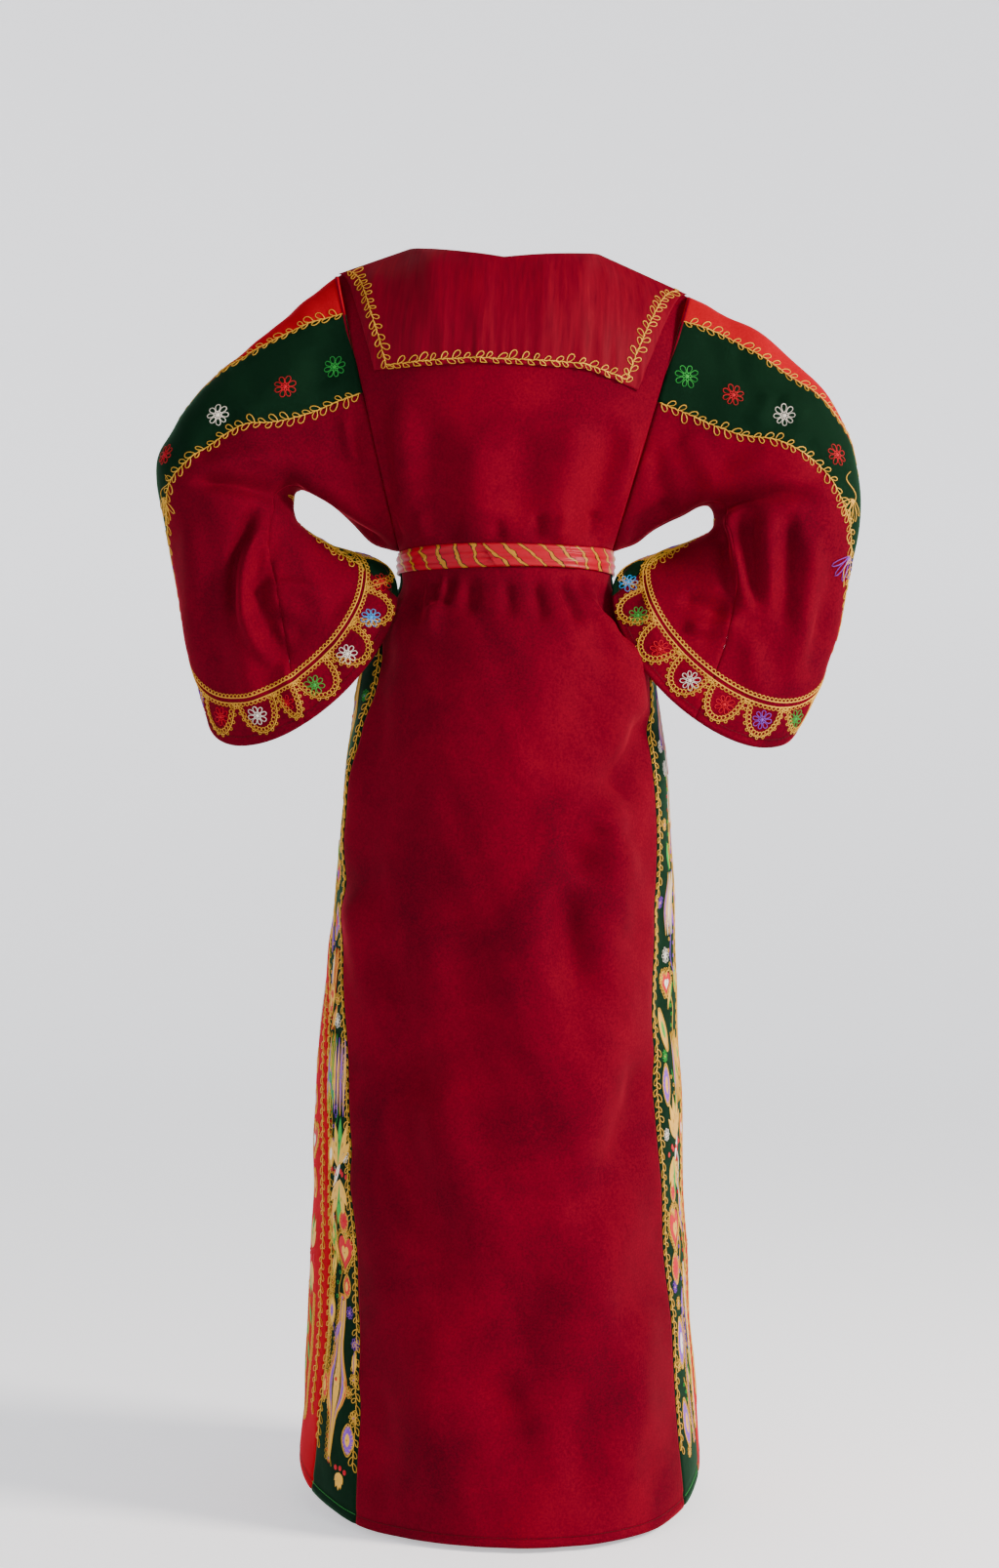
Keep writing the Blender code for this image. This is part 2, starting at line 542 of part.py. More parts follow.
def build_sleeve_braids(word, rings, normals, materials):
    """Braids over the four seams of the green strips, and the braid round the cuff above its edge."""
    stop = band_rows(rings, CUFF_BAND_FROM_EDGE + BRAID_WIDTH + CUFF_BAND_CLEARANCE)
    names = list(SLEEVE_PIECES)
    for piece, strip in SLEEVE_BRAIDS.items():
        joint = sum(list(SLEEVE_PIECES.values())[:names.index(strip) or len(names)])
        rows = np.concatenate([[BRAID_START], np.arange(BRAID_STEP, stop[joint] - BRAID_SPARE, BRAID_STEP),
                               [stop[joint]]])
        seam = np.full(len(rows), float(joint))
        middle = lay_on(rings, rows, seam)
        strips = []
        for step in (-1, 0, 1):
            beside = lay_on(rings, rows, (seam + step) % (rings.shape[1] - 1))
            share = BRAID_WIDTH / 2 / np.maximum(np.linalg.norm(beside - middle, axis=-1), 1e-6)
            strips.append(lay_on(rings, rows, (seam + step * share) % (rings.shape[1] - 1)) if step else middle)
        up = lay_on(normals, rows, np.full(len(rows), float(joint)))
        up /= np.linalg.norm(up, axis=-1, keepdims=True)
        low = np.stack(strips, 1) + (up * BRAID_LIFT)[:, None]
        make_wall(f"braid_{word}_{piece}", low + (up * BRAID)[:, None], low, materials["braid"])
    places = np.arange(0, rings.shape[1] - 1, BRAID_STEP)
    bands = []
    ups = []
    for distance in (CUFF_BAND_FROM_EDGE + BRAID_WIDTH, CUFF_BAND_FROM_EDGE):
        rows = np.interp(places, np.arange(rings.shape[1]), band_rows(rings, distance))
        bands.append(lay_on(rings, rows, places))
        ups.append(lay_on(normals, rows, places))
    up = np.array(ups)
    up /= np.linalg.norm(up, axis=-1, keepdims=True)
    low = np.array(bands) + up * BRAID_LIFT
    make_wall(f"cuff_braid_{word}", low + up * BRAID, low, materials["braid"], closed=True)


def build_sash(materials):
    """Sash round the waist: the section there moved out, and behind it the end that laps over it."""
    angle = np.linspace(-180, 180, SASH_STEPS + 1)[1:]
    base = skirt_points(SASH_LEVEL, angle)
    out = base / np.array([SASH_HALF_WIDTH, SASH_HALF_DEPTH, 1.0]) ** 2
    out[:, 2] = 0
    out /= np.linalg.norm(out, axis=-1, keepdims=True)
    middle = SASH_MIDDLE_Z - SASH_FRONT_DROP * (1 - np.maximum(np.cos(np.radians(angle)), 0))
    rings = []
    for share in (0.5, 0.0, -0.5):
        ring = base.copy()
        ring[:, 2] = middle + share * SASH_HEIGHT
        rings.append(ring)
    inner = np.array(rings) + out * SASH_LIFT
    outer = inner + out * SASH_CLOTH
    make_wall("sash", outer, inner, materials["sash"], closed=True)
    lap = (angle > SASH_END_FROM - 0.5) & (angle < SASH_END_TO + 5)
    under = (outer + out * SEAM_GAP)[:, lap]
    make_wall("sash_end", under + out[lap] * SASH_CLOTH, under, materials["sash"])


def main():
    clear_scene()
    materials = {
        "velvet_red": make_material("velvet_red", VELVET_RED, 0.75),
        "velvet_bright": make_material("velvet_bright", BRIGHT_RED, 0.70),
        "velvet_green": make_material("velvet_green", VELVET_GREEN, 0.75),
        "satin": make_material("satin_red", SATIN_RED, 0.40),
        "sash": make_material("sash_red", SASH_RED, 0.35),
        "braid": make_material("gold_braid", GOLD, 0.45, 0.3),
    }
    panels, outward = dress_panels()
    normals = sewn_normals(panels, outward)
    build_panels(panels, normals, materials)
    build_yoke(panels["back_panel"], normals["back_panel"], materials)
    for word in ("left", "right"):
        names = [n for n in panels if n.startswith(f"sleeve_{word}_")]
        rings = np.concatenate([panels[n][:, :-1] for n in names] + [panels[names[-1]][:, -1:]], 1)
        ring_normals = np.concatenate([normals[n][:, :-1] for n in names] + [normals[names[-1]][:, -1:]], 1)
        build_sleeve_braids(word, rings, ring_normals, materials)
    build_sash(materials)


main()
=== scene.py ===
"""Looks of a Palestinian thobe: velvet panels, satin yoke and sash, gold braid and couched embroidery.

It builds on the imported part, which is the hollow worn form of the dress in thin walls. Every panel is worked
out again from the same sections and stations, but finely, with the creases of the cloth, and then the threads
are laid on the panels. Frame: +Z up, the chest faces -Y, the back +Y, the wearer's left is +X. Metres.
"""

import functools
from collections import namedtuple

import bpy
import numpy as np
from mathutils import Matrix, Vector


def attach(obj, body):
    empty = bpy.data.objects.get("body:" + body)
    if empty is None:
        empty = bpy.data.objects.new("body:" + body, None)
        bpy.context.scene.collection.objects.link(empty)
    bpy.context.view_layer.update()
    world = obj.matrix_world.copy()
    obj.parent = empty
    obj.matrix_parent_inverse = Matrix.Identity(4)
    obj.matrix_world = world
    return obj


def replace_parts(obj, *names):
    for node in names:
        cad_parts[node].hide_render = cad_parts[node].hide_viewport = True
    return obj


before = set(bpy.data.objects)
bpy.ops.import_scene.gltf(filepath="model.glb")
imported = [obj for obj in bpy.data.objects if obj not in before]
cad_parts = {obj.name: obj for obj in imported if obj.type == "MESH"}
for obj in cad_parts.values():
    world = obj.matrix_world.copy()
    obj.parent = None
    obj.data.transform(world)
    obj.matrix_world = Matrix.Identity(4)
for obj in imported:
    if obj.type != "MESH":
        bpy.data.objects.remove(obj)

bl_info = {
    "name": "Palestinian thobe",
    "version": (1, 0, 0),
    "blender": (4, 5, 0),
    "location": "View3D > Sidebar > Thobe",
    "description": "Builds the cloth, braid and embroidery of a velvet thobe on its packed part",
    "category": "Object",
}

BODY = "root"
MM = 0.001
TINY = 1e-12

# Tables are written in whole numbers. A column's unit is how many of them make one metre, one share or one
# degree; it is 0 where the column holds names
SECTION_UNITS = (10000, 10000, 10000, 1000, 1000, 1000, 1000, 1000)
SEAM_UNITS = (10000, 10, 10, 10, 10)
STATION_UNITS = (10000, 10000, 10000, 10000, 1, 1, 1, 1, 1)
FILL_UNITS = (1000, 1000, 1000, 1000)
CREASE_UNITS = (1000, 1000, 1000, 1000, 10000, 10000, 10000, 1)
MOTIF_UNITS = (0, 1000, 100, 1000, 1000, 100, 0, 0)


def table(kind, units, text):
    """Rows of a table from its words: each whole number is divided by its column's unit, and names stay."""
    words, width = text.split(), len(units)
    rows = [words[i:i + width] for i in range(0, len(words), width)]
    return [kind(*(int(word) / unit if unit else word for word, unit in zip(row, units))) for row in rows]


# Cloth
VELVET = 0.0020
YOKE_LIFT = 0.0012
YOKE_CLOTH = 0.0012
SASH_LIFT = 0.0022
SASH_CLOTH = 0.0020
SASH_HEIGHT = 0.025
SASH_LEVEL = -0.345
SASH_MIDDLE_Z = -0.3360
SASH_FRONT_DROP = 0.0045
SHOULDER_NECK_X = 0.105
NECK_BACK_DEPTH = 0.055
NECK_FRONT_DEPTH = 0.085
NECK_FRONT_DROP = 0.105
SHOULDER_ROUND = 0.35
ARMHOLE_BOTTOM = -0.327
HEM = -1.3817
# The front's hem is lifted from this share of the depth forward, over this much more of it
RISE_FROM = 0.1
RISE_OVER = 0.6
NECK_FRONT_CURVE = 0.8
ARMHOLE_POINTS = (3, 4, 6)
SEAM_DIP = 0.0011
SEAM_REACH = 0.0026
SEAM_GAP = 0.00003

# Level sections of the skirt. left, right: reach at the widest place, whose depth is wide; back, front: depth
# of the middle; lean: how far the back's middle sits off centre; rise: how far the front is lifted
Section = namedtuple("Section", "z left right wide back front lean rise")
SKIRT = table(Section, SECTION_UNITS, """
    -3270 1165 1195 0 90 -85 0 0   -3450 1160 1192 0 90 -86 0 0   -3650 1175 1215 0 94 -91 0 0
    -3900 1330 1370 0 104 -101 0 0   -4300 1520 1575 -5 119 -113 0 1   -4700 1630 1665 -10 129 -122 0 1
    -5500 1735 1785 -20 140 -135 0 3   -6500 1820 1865 -32 144 -150 0 5
    -8000 2005 1925 -50 148 -178 -4 10   -9500 2130 1990 -68 155 -212 -8 16
    -11500 2200 2070 -90 169 -255 -13 27   -13150 2290 2185 -106 184 -295 -18 37
    -13817 2330 2228 -110 190 -310 -20 42
""")

# Where the green side strips meet the back and the front panel: degrees round the section from the middle of
# the back
Seam = namedtuple("Seam", "z left_back left_front right_back right_front")
SEAMS = table(Seam, SEAM_UNITS, """
    -3270 883 917 883 917   -3650 760 1030 770 1030   -4300 644 980 662 980   -5500 642 920 652 930
    -6500 680 900 635 910   -7500 642 820 605 880   -8500 580 710 560 840   -9500 535 670 557 810
    -10500 486 635 563 790   -11500 474 630 580 775   -12500 470 650 587 765   -13150 476 665 587 760
    -13817 467 680 591 770
""")

# Depth of the middle of the back and of the front, from the neck and shoulder line down to the underarm
Torso = namedtuple("Torso", "down back front")
TORSO = [
    Torso(0.00, 0.060, 0.088),
    Torso(0.05, 0.080, 0.100),
    Torso(0.16, 0.098, 0.108),
    Torso(0.35, 0.107, 0.117),
    Torso(0.60, 0.105, 0.112),
    Torso(0.85, 0.094, 0.092),
    Torso(1.00, 0.090, 0.085),
]
SHOULDER_LINE_X = (-0.2032, -SHOULDER_NECK_X, 0.0, SHOULDER_NECK_X, 0.1848)
SHOULDER_LINE_Z = (-0.0432, 0.001, -0.011, 0.007, -0.0205)

# Sleeve stations from the armhole to the cuff. out: the shoulder and elbow side; in: the underarm and crook
# side; then the angles, from out over the back to in, where the five strips meet
Station = namedtuple("Station", "out_x out_z in_x in_z top green under dark front")
SLEEVES = {
    "left": table(Station, STATION_UNITS, """
        1848 -205 1165 -3270 47 84 180 276 313   2215 -497 1437 -3180 39 84 178 275 307
        2615 -832 1675 -2961 30 86 176 272 300   3026 -1189 1902 -2756 18 85 172 268 290
        3371 -1524 2075 -2648 5 76 168 262 282   3642 -1902 2215 -2594 -8 70 163 255 275
        3805 -2205 2285 -2620 -20 61 157 246 266   3825 -2500 2315 -2710 -33 43 148 236 256
        3745 -2929 2315 -2835 -48 23 136 222 244   3663 -3415 2265 -2970 -62 3 122 206 232
        3554 -3977 2100 -3105 -72 -12 105 190 222   3436 -4517 1830 -3245 -78 -22 88 174 214
        3318 -4896 1560 -3340 -82 -29 76 162 208   3188 -5295 1270 -3440 -85 -34 67 151 202
    """),
    "right": table(Station, STATION_UNITS, """
        2032 -432 1195 -3270 40 83 180 277 320   2464 -649 1480 -3160 37 86 178 275 312
        2896 -897 1707 -3000 39 90 176 272 304   3274 -1232 1945 -2870 36 90 173 268 294
        3577 -1556 2107 -2790 28 83 169 262 284   3781 -1945 2225 -2765 15 73 163 255 276
        3867 -2280 2280 -2815 0 60 156 246 268   3923 -2658 2295 -2910 -15 49 147 236 258
        3901 -3037 2275 -3010 -32 33 136 222 246   3835 -3415 2150 -3130 -48 18 122 206 234
        3739 -3901 1945 -3245 -62 2 106 190 224   3620 -4366 1700 -3330 -72 -12 92 176 216
        3436 -4841 1490 -3400 -79 -22 82 164 210   3188 -5317 1285 -3470 -84 -30 73 154 204
    """),
}
SIDES = {"left": 1, "right": -1}

# How the tube fills at each station. tilt: how far the back layer runs past the front one along the arm;
# back, front: reach of the two layers; mid: depth of the tube's middle
Fill = namedtuple("Fill", "tilt back front mid")
FILL = table(Fill, FILL_UNITS, """
    0 65 65 0   0 63 62 2   0 62 60 5   0 62 60 8   0 63 62 12   0 65 64 15   0 66 65 18   4 66 65 20
    10 64 62 20   20 61 58 20   33 58 53 21   46 54 49 23   57 51 46 25   68 48 43 27
""")

# The five strips of a sleeve, each from one seam to the next, and how many columns of points it takes
Strip = namedtuple("Strip", "name start end columns slot")
STRIPS = [
    Strip("top_stripe", "front", "top", 40, "velvet_bright"),
    Strip("back_stripe", "top", "green", 36, "velvet_green"),
    Strip("back_lower", "green", "under", 54, "velvet_red"),
    Strip("front_lower", "under", "dark", 48, "velvet_red"),
    Strip("front_stripe", "dark", "front", 30, "velvet_green"),
]
SLEEVE_ROWS = 139

# The yoke: share of the armhole-to-armhole width at the top and the bottom, and its lower edge
YOKE_LEFT_SHARE = (0.905, 0.835)
YOKE_RIGHT_SHARE = (0.915, 0.805)
YOKE_HEM_X = (-0.140, -0.112, -0.080, -0.02, 0.03, 0.140)
YOKE_HEM_Z = (-0.160, -0.148, -0.137, -0.1335, -0.131, -0.136)

# Creases, listed one by one. Each runs from (x1, z1) to (x2, z2) and bows to one side; reach: half width;
# depth:
# ridges above zero, troughs below; side: 1 where the cloth faces back, -1 where it faces forward
Crease = namedtuple("Crease", "x1 z1 x2 z2 bow reach depth side")
FADE_IN = 0.22
FADE_OUT = 0.34
NARROW_START = 0.75
WIDEN = 0.5
FULL_FACING = 0.45
BODY_CREASES = table(Crease, CREASE_UNITS, """
    90 -356 96 -414 -12 70 -73 1   73 -356 79 -396 12 60 -86 1   56 -355 72 -394 21 60 -99 1
    34 -358 38 -404 -12 80 -60 1   -3 -361 -7 -408 -9 80 -60 1   -32 -361 -44 -414 -5 70 -73 1
    -59 -358 -84 -414 2 70 -86 1   -77 -357 -123 -408 9 70 -109 1   -98 -361 -135 -435 55 70 -86 1
    64 -356 84 -435 -20 80 73 1   -86 -363 -127 -456 50 90 86 1   -139 -414 -117 -579 51 240 147 1
    -149 -499 -108 -627 63 200 -172 1   -108 -627 -71 -683 -6 220 -147 1
    -71 -683 -88 -827 -91 200 -147 1   -127 -579 -86 -662 46 220 147 1
    -119 -631 -90 -796 102 240 122 1   150 -476 170 -714 -25 160 99 1   129 -414 146 -579 -41 200 -73 1
    166 -683 100 -879 -95 220 147 1   150 -734 79 -972 74 240 -172 1   100 -889 18 -1085 -58 300 147 1
    141 -848 49 -1126 65 300 -122 1   162 -972 100 -1199 0 300 99 1   49 -683 18 -972 -51 400 -99 1
    -24 -641 -44 -992 21 450 99 1   -127 -745 -44 -1034 119 340 147 1
    -152 -868 -86 -1085 64 260 -122 1   -137 -972 -55 -1199 78 300 122 1
    -44 -1075 7 -1302 -50 340 -99 1   -148 -1126 -115 -1343 49 260 99 1   79 -1147 67 -1364 -24 340 99 1
    18 -1199 -44 -1364 0 340 -73 1   -86 -1199 -86 -1379 -21 280 -73 1
    141 -1219 125 -1364 -21 220 -73 1   -179 -683 -172 -889 10 140 -73 1
    135 -160 121 -307 -31 140 -73 1   112 -160 102 -328 -31 200 73 1   79 -181 68 -324 -12 220 -73 1
    33 -202 26 -324 -12 220 60 1   -24 -191 -16 -324 5 240 -60 1   -77 -181 -51 -324 24 220 73 1
    -118 -181 -83 -324 36 180 -73 1   -142 -191 -110 -307 44 120 73 1   49 -286 58 -324 5 80 -60 1
    9 -296 5 -326 -1 80 -49 1   -41 -290 -33 -324 0 80 -60 1   -66 -286 -56 -324 6 80 49 1
    91 -286 83 -324 -5 80 60 1   123 -286 110 -324 -27 80 -60 1   -100 -286 -91 -324 5 80 -60 1
    134 -373 157 -694 -23 260 -172 -1   88 -350 100 -671 -34 240 147 -1
    42 -350 47 -808 -46 300 -147 -1   -26 -350 -40 -762 23 300 147 -1
    -84 -361 -109 -694 30 260 -172 -1   -136 -396 -164 -785 31 240 122 -1
    168 -716 196 -1152 -53 300 147 -1   100 -785 134 -1266 -26 360 -147 -1
    19 -854 24 -1312 -46 400 147 -1   -61 -808 -90 -1289 27 380 -147 -1
    -141 -854 -177 -1266 46 300 147 -1   -15 -373 -22 -464 11 100 -99 -1   65 -361 70 -464 -3 100 -99 -1
    111 -144 88 -300 -26 180 -99 -1   -95 -144 -72 -300 26 180 -99 -1   42 -167 36 -300 -13 200 73 -1
    -40 -167 -33 -300 13 200 73 -1   77 -52 54 -144 0 160 -73 -1   -77 -52 -54 -144 0 160 -73 -1
""")
SLEEVE_CREASES = {
    "left": table(Crease, CREASE_UNITS, """
        344 -255 210 -278 45 100 -135 1   334 -240 181 -238 95 130 60 1
        207 -280 121 -335 30 100 -105 1   233 -244 123 -318 73 140 75 1
        262 -272 296 -427 -118 100 -150 1   264 -299 238 -466 -335 80 150 1
        250 -314 224 -461 -256 110 -120 1   255 -322 269 -375 13 60 75 1   266 -371 191 -381 73 70 75 1
        260 -392 210 -434 30 100 -60 1   241 -445 210 -518 -50 80 60 1   342 -284 328 -474 -23 160 60 1
        311 -327 304 -497 -115 140 -60 1   281 -421 269 -518 -26 140 45 1
        174 -183 159 -240 -28 60 37 1   153 -179 140 -263 -21 90 -37 1   229 -158 153 -105 26 180 -30 1
        292 -190 197 -122 53 160 30 1   334 -232 281 -179 60 120 -37 1   210 -105 191 -158 30 140 -30 1
        197 -411 140 -358 59 120 -45 1   186 -474 132 -379 -45 140 45 1
        197 -327 229 -369 -6 100 -75 -1   218 -327 134 -411 74 120 75 -1
        271 -116 313 -232 -58 160 -60 -1   197 -95 239 -232 -116 180 75 -1
        302 -284 229 -327 76 120 -105 -1   321 -327 229 -390 99 140 90 -1
    """),
    "right": table(Crease, CREASE_UNITS, """
        -222 -284 -345 -272 91 90 -120 1   -210 -263 -298 -232 3 140 60 1
        -193 -276 -130 -327 -63 120 -60 1   -248 -276 -269 -411 -69 80 135 1
        -262 -276 -275 -402 -19 100 -105 1   -237 -295 -264 -404 -72 110 -105 1
        -288 -276 -298 -411 -56 140 75 1   -311 -284 -304 -432 -32 110 -90 1
        -334 -305 -311 -495 31 130 75 1   -363 -327 -325 -474 41 120 -60 1
        -193 -411 -264 -402 -65 80 75 1   -186 -381 -256 -402 23 90 -60 1
        -266 -421 -269 -495 30 140 45 1   -239 -369 -216 -449 -24 120 -45 1
        -256 -100 -269 -179 -37 120 -37 1   -288 -153 -269 -200 39 110 45 1
        -321 -200 -347 -263 39 120 -45 1   -298 -163 -330 -190 20 100 37 1
        -214 -84 -245 -158 50 160 -30 1   -193 -200 -235 -263 -35 160 37 1
        -159 -211 -182 -295 -30 140 -45 1   -159 -369 -182 -463 -84 120 45 1
        -193 -327 -256 -369 88 100 -75 -1   -182 -369 -277 -432 58 120 75 -1
        -298 -116 -340 -232 58 160 -60 -1   -235 -95 -288 -232 68 180 75 -1
        -340 -284 -266 -327 -118 120 -105 -1
    """),
}

Wave = namedtuple("Wave", "along_x along_z height phase")
RIPPLES = [
    Wave(0.083, 0.210, 0.0007, 0.4),
    Wave(-0.061, 0.130, 0.0005, 2.1),
    Wave(0.037, -0.092, 0.0003, 4.0),
]
ARMHOLE_CALM = 0.7
ARMHOLE_SHARE = 0.06
WAIST_CALM = 0.06

PANELS = ("back_panel", "side_strip_left", "front_panel", "side_strip_right")
PANEL_SLOTS = {"back_panel": "velvet_red", "front_panel": "velvet_bright",
               "side_strip_left": "velvet_green", "side_strip_right": "velvet_green"}
BACK_COLUMNS = 92
FRONT_COLUMNS = 60
STRIP_COLUMNS = 26
SKIRT_ROWS = 192
TORSO_ROWS = 70
SEAM_SHARE = 0.013
WIDE_SEAM_SHARE = 0.0035
# Columns bunched at a seam, in steps of the seam's share, and where the even run starts
SEAM_STEPS = (0, 0.8, 1.6, 2.6, 4.0)
EVEN_FROM = 6.5
HEM_TURN = 0.010

# Cut of each piece that shows: width, length and area of flat cloth
Cut = namedtuple("Cut", "width length area")

# Threads: colours, and the sizes of the stitches, in metres
THREADS_HEX = {"gold": "#c9972f", "red": "#a8041c", "green": "#2a8a34", "lilac": "#6c38a0",
               "cream": "#cfc8bc", "blue": "#1c8cd0", "yellow": "#c8a010", "dark": "#0a1c10",
               "maroon": "#3c040c"}
THREADS = list(THREADS_HEX)
PAD_RINGS = (1.0, 0.8, 0.5, 0.15)
SLANT = 0.7
INSIDE = 1.000001
SASH_RED = "#8c041a"
SASH_GOLD = "#94641c"
SASH_BLACK = "#1a0a0c"
BAR_PERIOD = 0.021
BAR_LEAN = 0.45
BAR_WOBBLE = 0.016
BAR_WOBBLE_SCALE = 60.0

# Sizes of the materials' patterns, in metres
# Size of the patches of painted light and shade on the velvets
LIGHT_SHADE_PATCH = 0.13
PILE_GRAIN = 0.0022
PILE_HOLLOW = 0.009
PILE_DEPTH = 0.0009
FLOAT_WIDTH = 0.004
FLOAT_LENGTH = 0.05
FLOAT_DEPTH = 0.0006
THREAD_TWIST = 0.0009
THREAD_DEPTH = 0.0003

YOKE_COLUMNS = 110
YOKE_ROWS = 66
YOKE_SEARCH_ROWS = 5.5
YOKE_PUCKER = 0.0009
YOKE_FLOOR = -0.0004
YOKE_SEARCH = 40
PUCKER_FROM = 0.55
PUCKER_PITCH = 0.0165
PUCKER_SHIFT = 0.6
PUCKER_TURNS = 41
FOLDS_FULL = 0.3
YOKE_WAVES = [Wave(0.062, 0.9, 0.0009, 0.0), Wave(-0.037, 0.7, 0.0006, 1.2), Wave(0.021, 0.5, 0.0003, 3.0)]
SASH_ROWS = 15
SASH_COLUMNS = 361
SASH_START = -15.0
SASH_END = (-38.0, 8.0)
SASH_END_COLUMNS = 70
SASH_END_LEAN = 7.0
SASH_ROUNDING = 0.0012
SASH_PLEAT_ROOM = 0.0012
SASH_OVAL = (0.116, 0.088, 1.0)
SASH_WAVER = 0.06
SASH_WAVES = 3
SASH_EDGE_CURVE = 4
# Pleats of the sash: turns as it goes round, turns across its height, height and phase
Pleat = namedtuple("Pleat", "round across height phase")
SASH_PLEATS = [Pleat(2, 3.0, 0.0008, 0.3), Pleat(-3, 5.0, 0.0005, 1.1), Pleat(1, 9.0, 0.0004, 2.0)]


# Stitches
CORD = 0.00052
FINE_CORD = 0.00042
LOOP = 0.0044
LOOP_PITCH = 0.0052
LOOP_POINTS = 8
RING_TURN = np.arange(LOOP_POINTS) * 2 * np.pi / LOOP_POINTS
BRAID_PITCH = 0.0125
BRAID_LOOP = 0.0105
BRAID_INSET = 0.0055
SLEEVE_BRAIDS = {"back_upper": "back_stripe", "back_lower": "back_lower",
                 "front_lower": "front_stripe", "front_upper": "top_stripe"}
CUFF_TOP = 0.048
SCALLOP_DEPTH = 0.036
SCALLOP_MIDDLE = 0.46
NARROW_SCALLOP = 0.6
PETAL_FOOT = 0.15
STITCH = 0.0016
STITCH_PITCH = 0.0042
STITCH_CORD = 0.00035
NECK_STITCH_ROW = 0.9

# Proportions of the drawings: shares of their width, length or size, and angles in radians. Domes and lifts
# of pads are in millimetres, lifts of cords in cord radii
Petal = namedtuple("Petal", "length width start")
OUTER_PETAL = Petal(0.37, 0.25, 0.13)
INNER_PETAL = Petal(0.17, 0.13, 0.03)
PETAL_UNEVEN = (0.88, 1.1)
FLOWER_KNOT = 0.16
KNOT_DOME = 0.9
PAD_SHARE = 0.86
CORE_SHARE = 0.42
CORE_CORD_SHARE = 0.45
PAD_DOME = 0.7
LEAF_DOME = 0.8
VEIN = np.linspace(-0.42, 0.42, 6)
VEIN_LIFT = 2.2
FAN_LEAVES = ((-0.62, 0.72), (-0.28, 0.95), (0.05, 1.0), (0.34, 0.9), (0.68, 0.68))
FAN_LEAF_WIDTH = 0.24
FAN_MIDDLE = 0.1
FAN_KNOTS = ((-0.3, 0.1), (0.3, 0.1), (0.0, 0.16))
SMALL_KNOT = 0.006
LARGE_KNOT = 0.014
BOTTLE_HALVES = (0.30, 0.34, 0.38, 0.42, 0.66, 1.0, 0.86, 0.36, 0.22, 0.16, 0.10)
BOTTLE_DOME = 0.15
BOTTLE_POINTS = 20
ARCH_CURVE = 0.6
ARCH_LEAVES = ((-0.12, -1), (0.02, 1), (0.16, -1), (0.30, 1))
ARCH_LEAF = (0.010, 0.026, 16, 0.8)
ARCH_LEAF_ASIDE = 0.009
ARCH_LEAF_LEAN = 0.6
ARCH_STEM = np.linspace(-0.25, 0.42, 8)
STEM_WAVES = 9
STRIPE_WIDTH = 0.17
STRIPE_PLACES = (-0.36, -0.12, 0.12, 0.36)
SCROLL_TURN = 3.3
SCROLL_NARROWS = 0.8
SCROLL_PETALS = (-1.1, -0.6, -0.1, 0.4, 0.9)
SCROLL_PETAL = (0.42, 0.3)
BRAID_UNEVEN = (0.75, 1.15)
BRAID_LEAN = (0.45, 1.0)
BRAID_LOOP_WIDTH = 0.62
BRAID_WAVE = 2.1
CORD_LIFT = 0.6
BRAID_SIDES = 4
SCALLOP_WIDTH = 0.46
SCALLOP_CURVE = 0.75
SCALLOP_FLOWER = 0.62
STITCH_LIFT = 0.2
BRAID_FROM_ROW = 0.3
SLEEVE_BRAID_FROM_ROW = 0.4
FACING_BACK = -0.2
PATH_POINTS = 160
YOKE_SIDE_POINTS = 40
YOKE_HEM_POINTS = 60
FOREARM_POINTS = 120

# Colours of the scallops round each cuff, from the underarm seam over the front of the arm and back to it
CUFF_COLOURS = {
    "left": "green cream blue red lilac cream green blue red green lilac red cream narrow".split(),
    "right": "cream red green blue lilac red cream green blue red cream green lilac red".split(),
}

# Single flowers of the sleeves, and the scroll near the elbow, where the cloth faces back at (x, z)
Bloom = namedtuple("Bloom", "x z size colour")
Scroll = namedtuple("Scroll", "x z turn width length colour second")
SLEEVE_FLOWERS = {
    "left": [Bloom(0.184, -0.130, 0.024, "green"), Bloom(0.237, -0.151, 0.024, "red"),
             Bloom(0.312, -0.183, 0.024, "cream"), Bloom(0.370, -0.223, 0.024, "red")],
    "right": [Bloom(-0.200, -0.140, 0.026, "green"), Bloom(-0.249, -0.161, 0.024, "red"),
              Bloom(-0.305, -0.184, 0.024, "cream"), Bloom(-0.361, -0.224, 0.024, "red")],
}
SLEEVE_SCROLLS = {
    "left": [Scroll(0.372, -0.272, 0.2, 0.020, 0.060, "gold", "gold"),
             Scroll(0.366, -0.330, 0.1, 0.020, 0.060, "gold", "lilac")],
    "right": [Scroll(-0.378, -0.272, -0.2, 0.022, 0.060, "gold", "gold"),
              Scroll(-0.376, -0.335, -0.1, 0.022, 0.060, "gold", "lilac")],
}

# Motifs on a strip. height: along the cloth above the hem, or the station on a forearm; share: -1 at the back
# seam, 1 at the front seam; width, length: size on the cloth; turn: in radians; then the two threads
Motif = namedtuple("Motif", "kind height share width length turn colour second")
FOREARM = table(Motif, MOTIF_UNITS, """
    oval 6200 30 20 44 10 lilac red   stripes 7200 -30 26 60 5 lilac red
    flower 7500 45 20 20 0 lilac gold   oval 8400 10 24 50 -15 lilac gold
    loops 8800 -65 10 80 0 gold red   stripes 9700 45 24 55 0 lilac red
    flower 10000 -10 20 20 0 cream lilac   oval 10600 -35 22 40 10 gold lilac
""")
FOREARM_RAILS = (0.13, 0.87)
FOREARM_FROM = 5.6
FOREARM_TO = 11.3
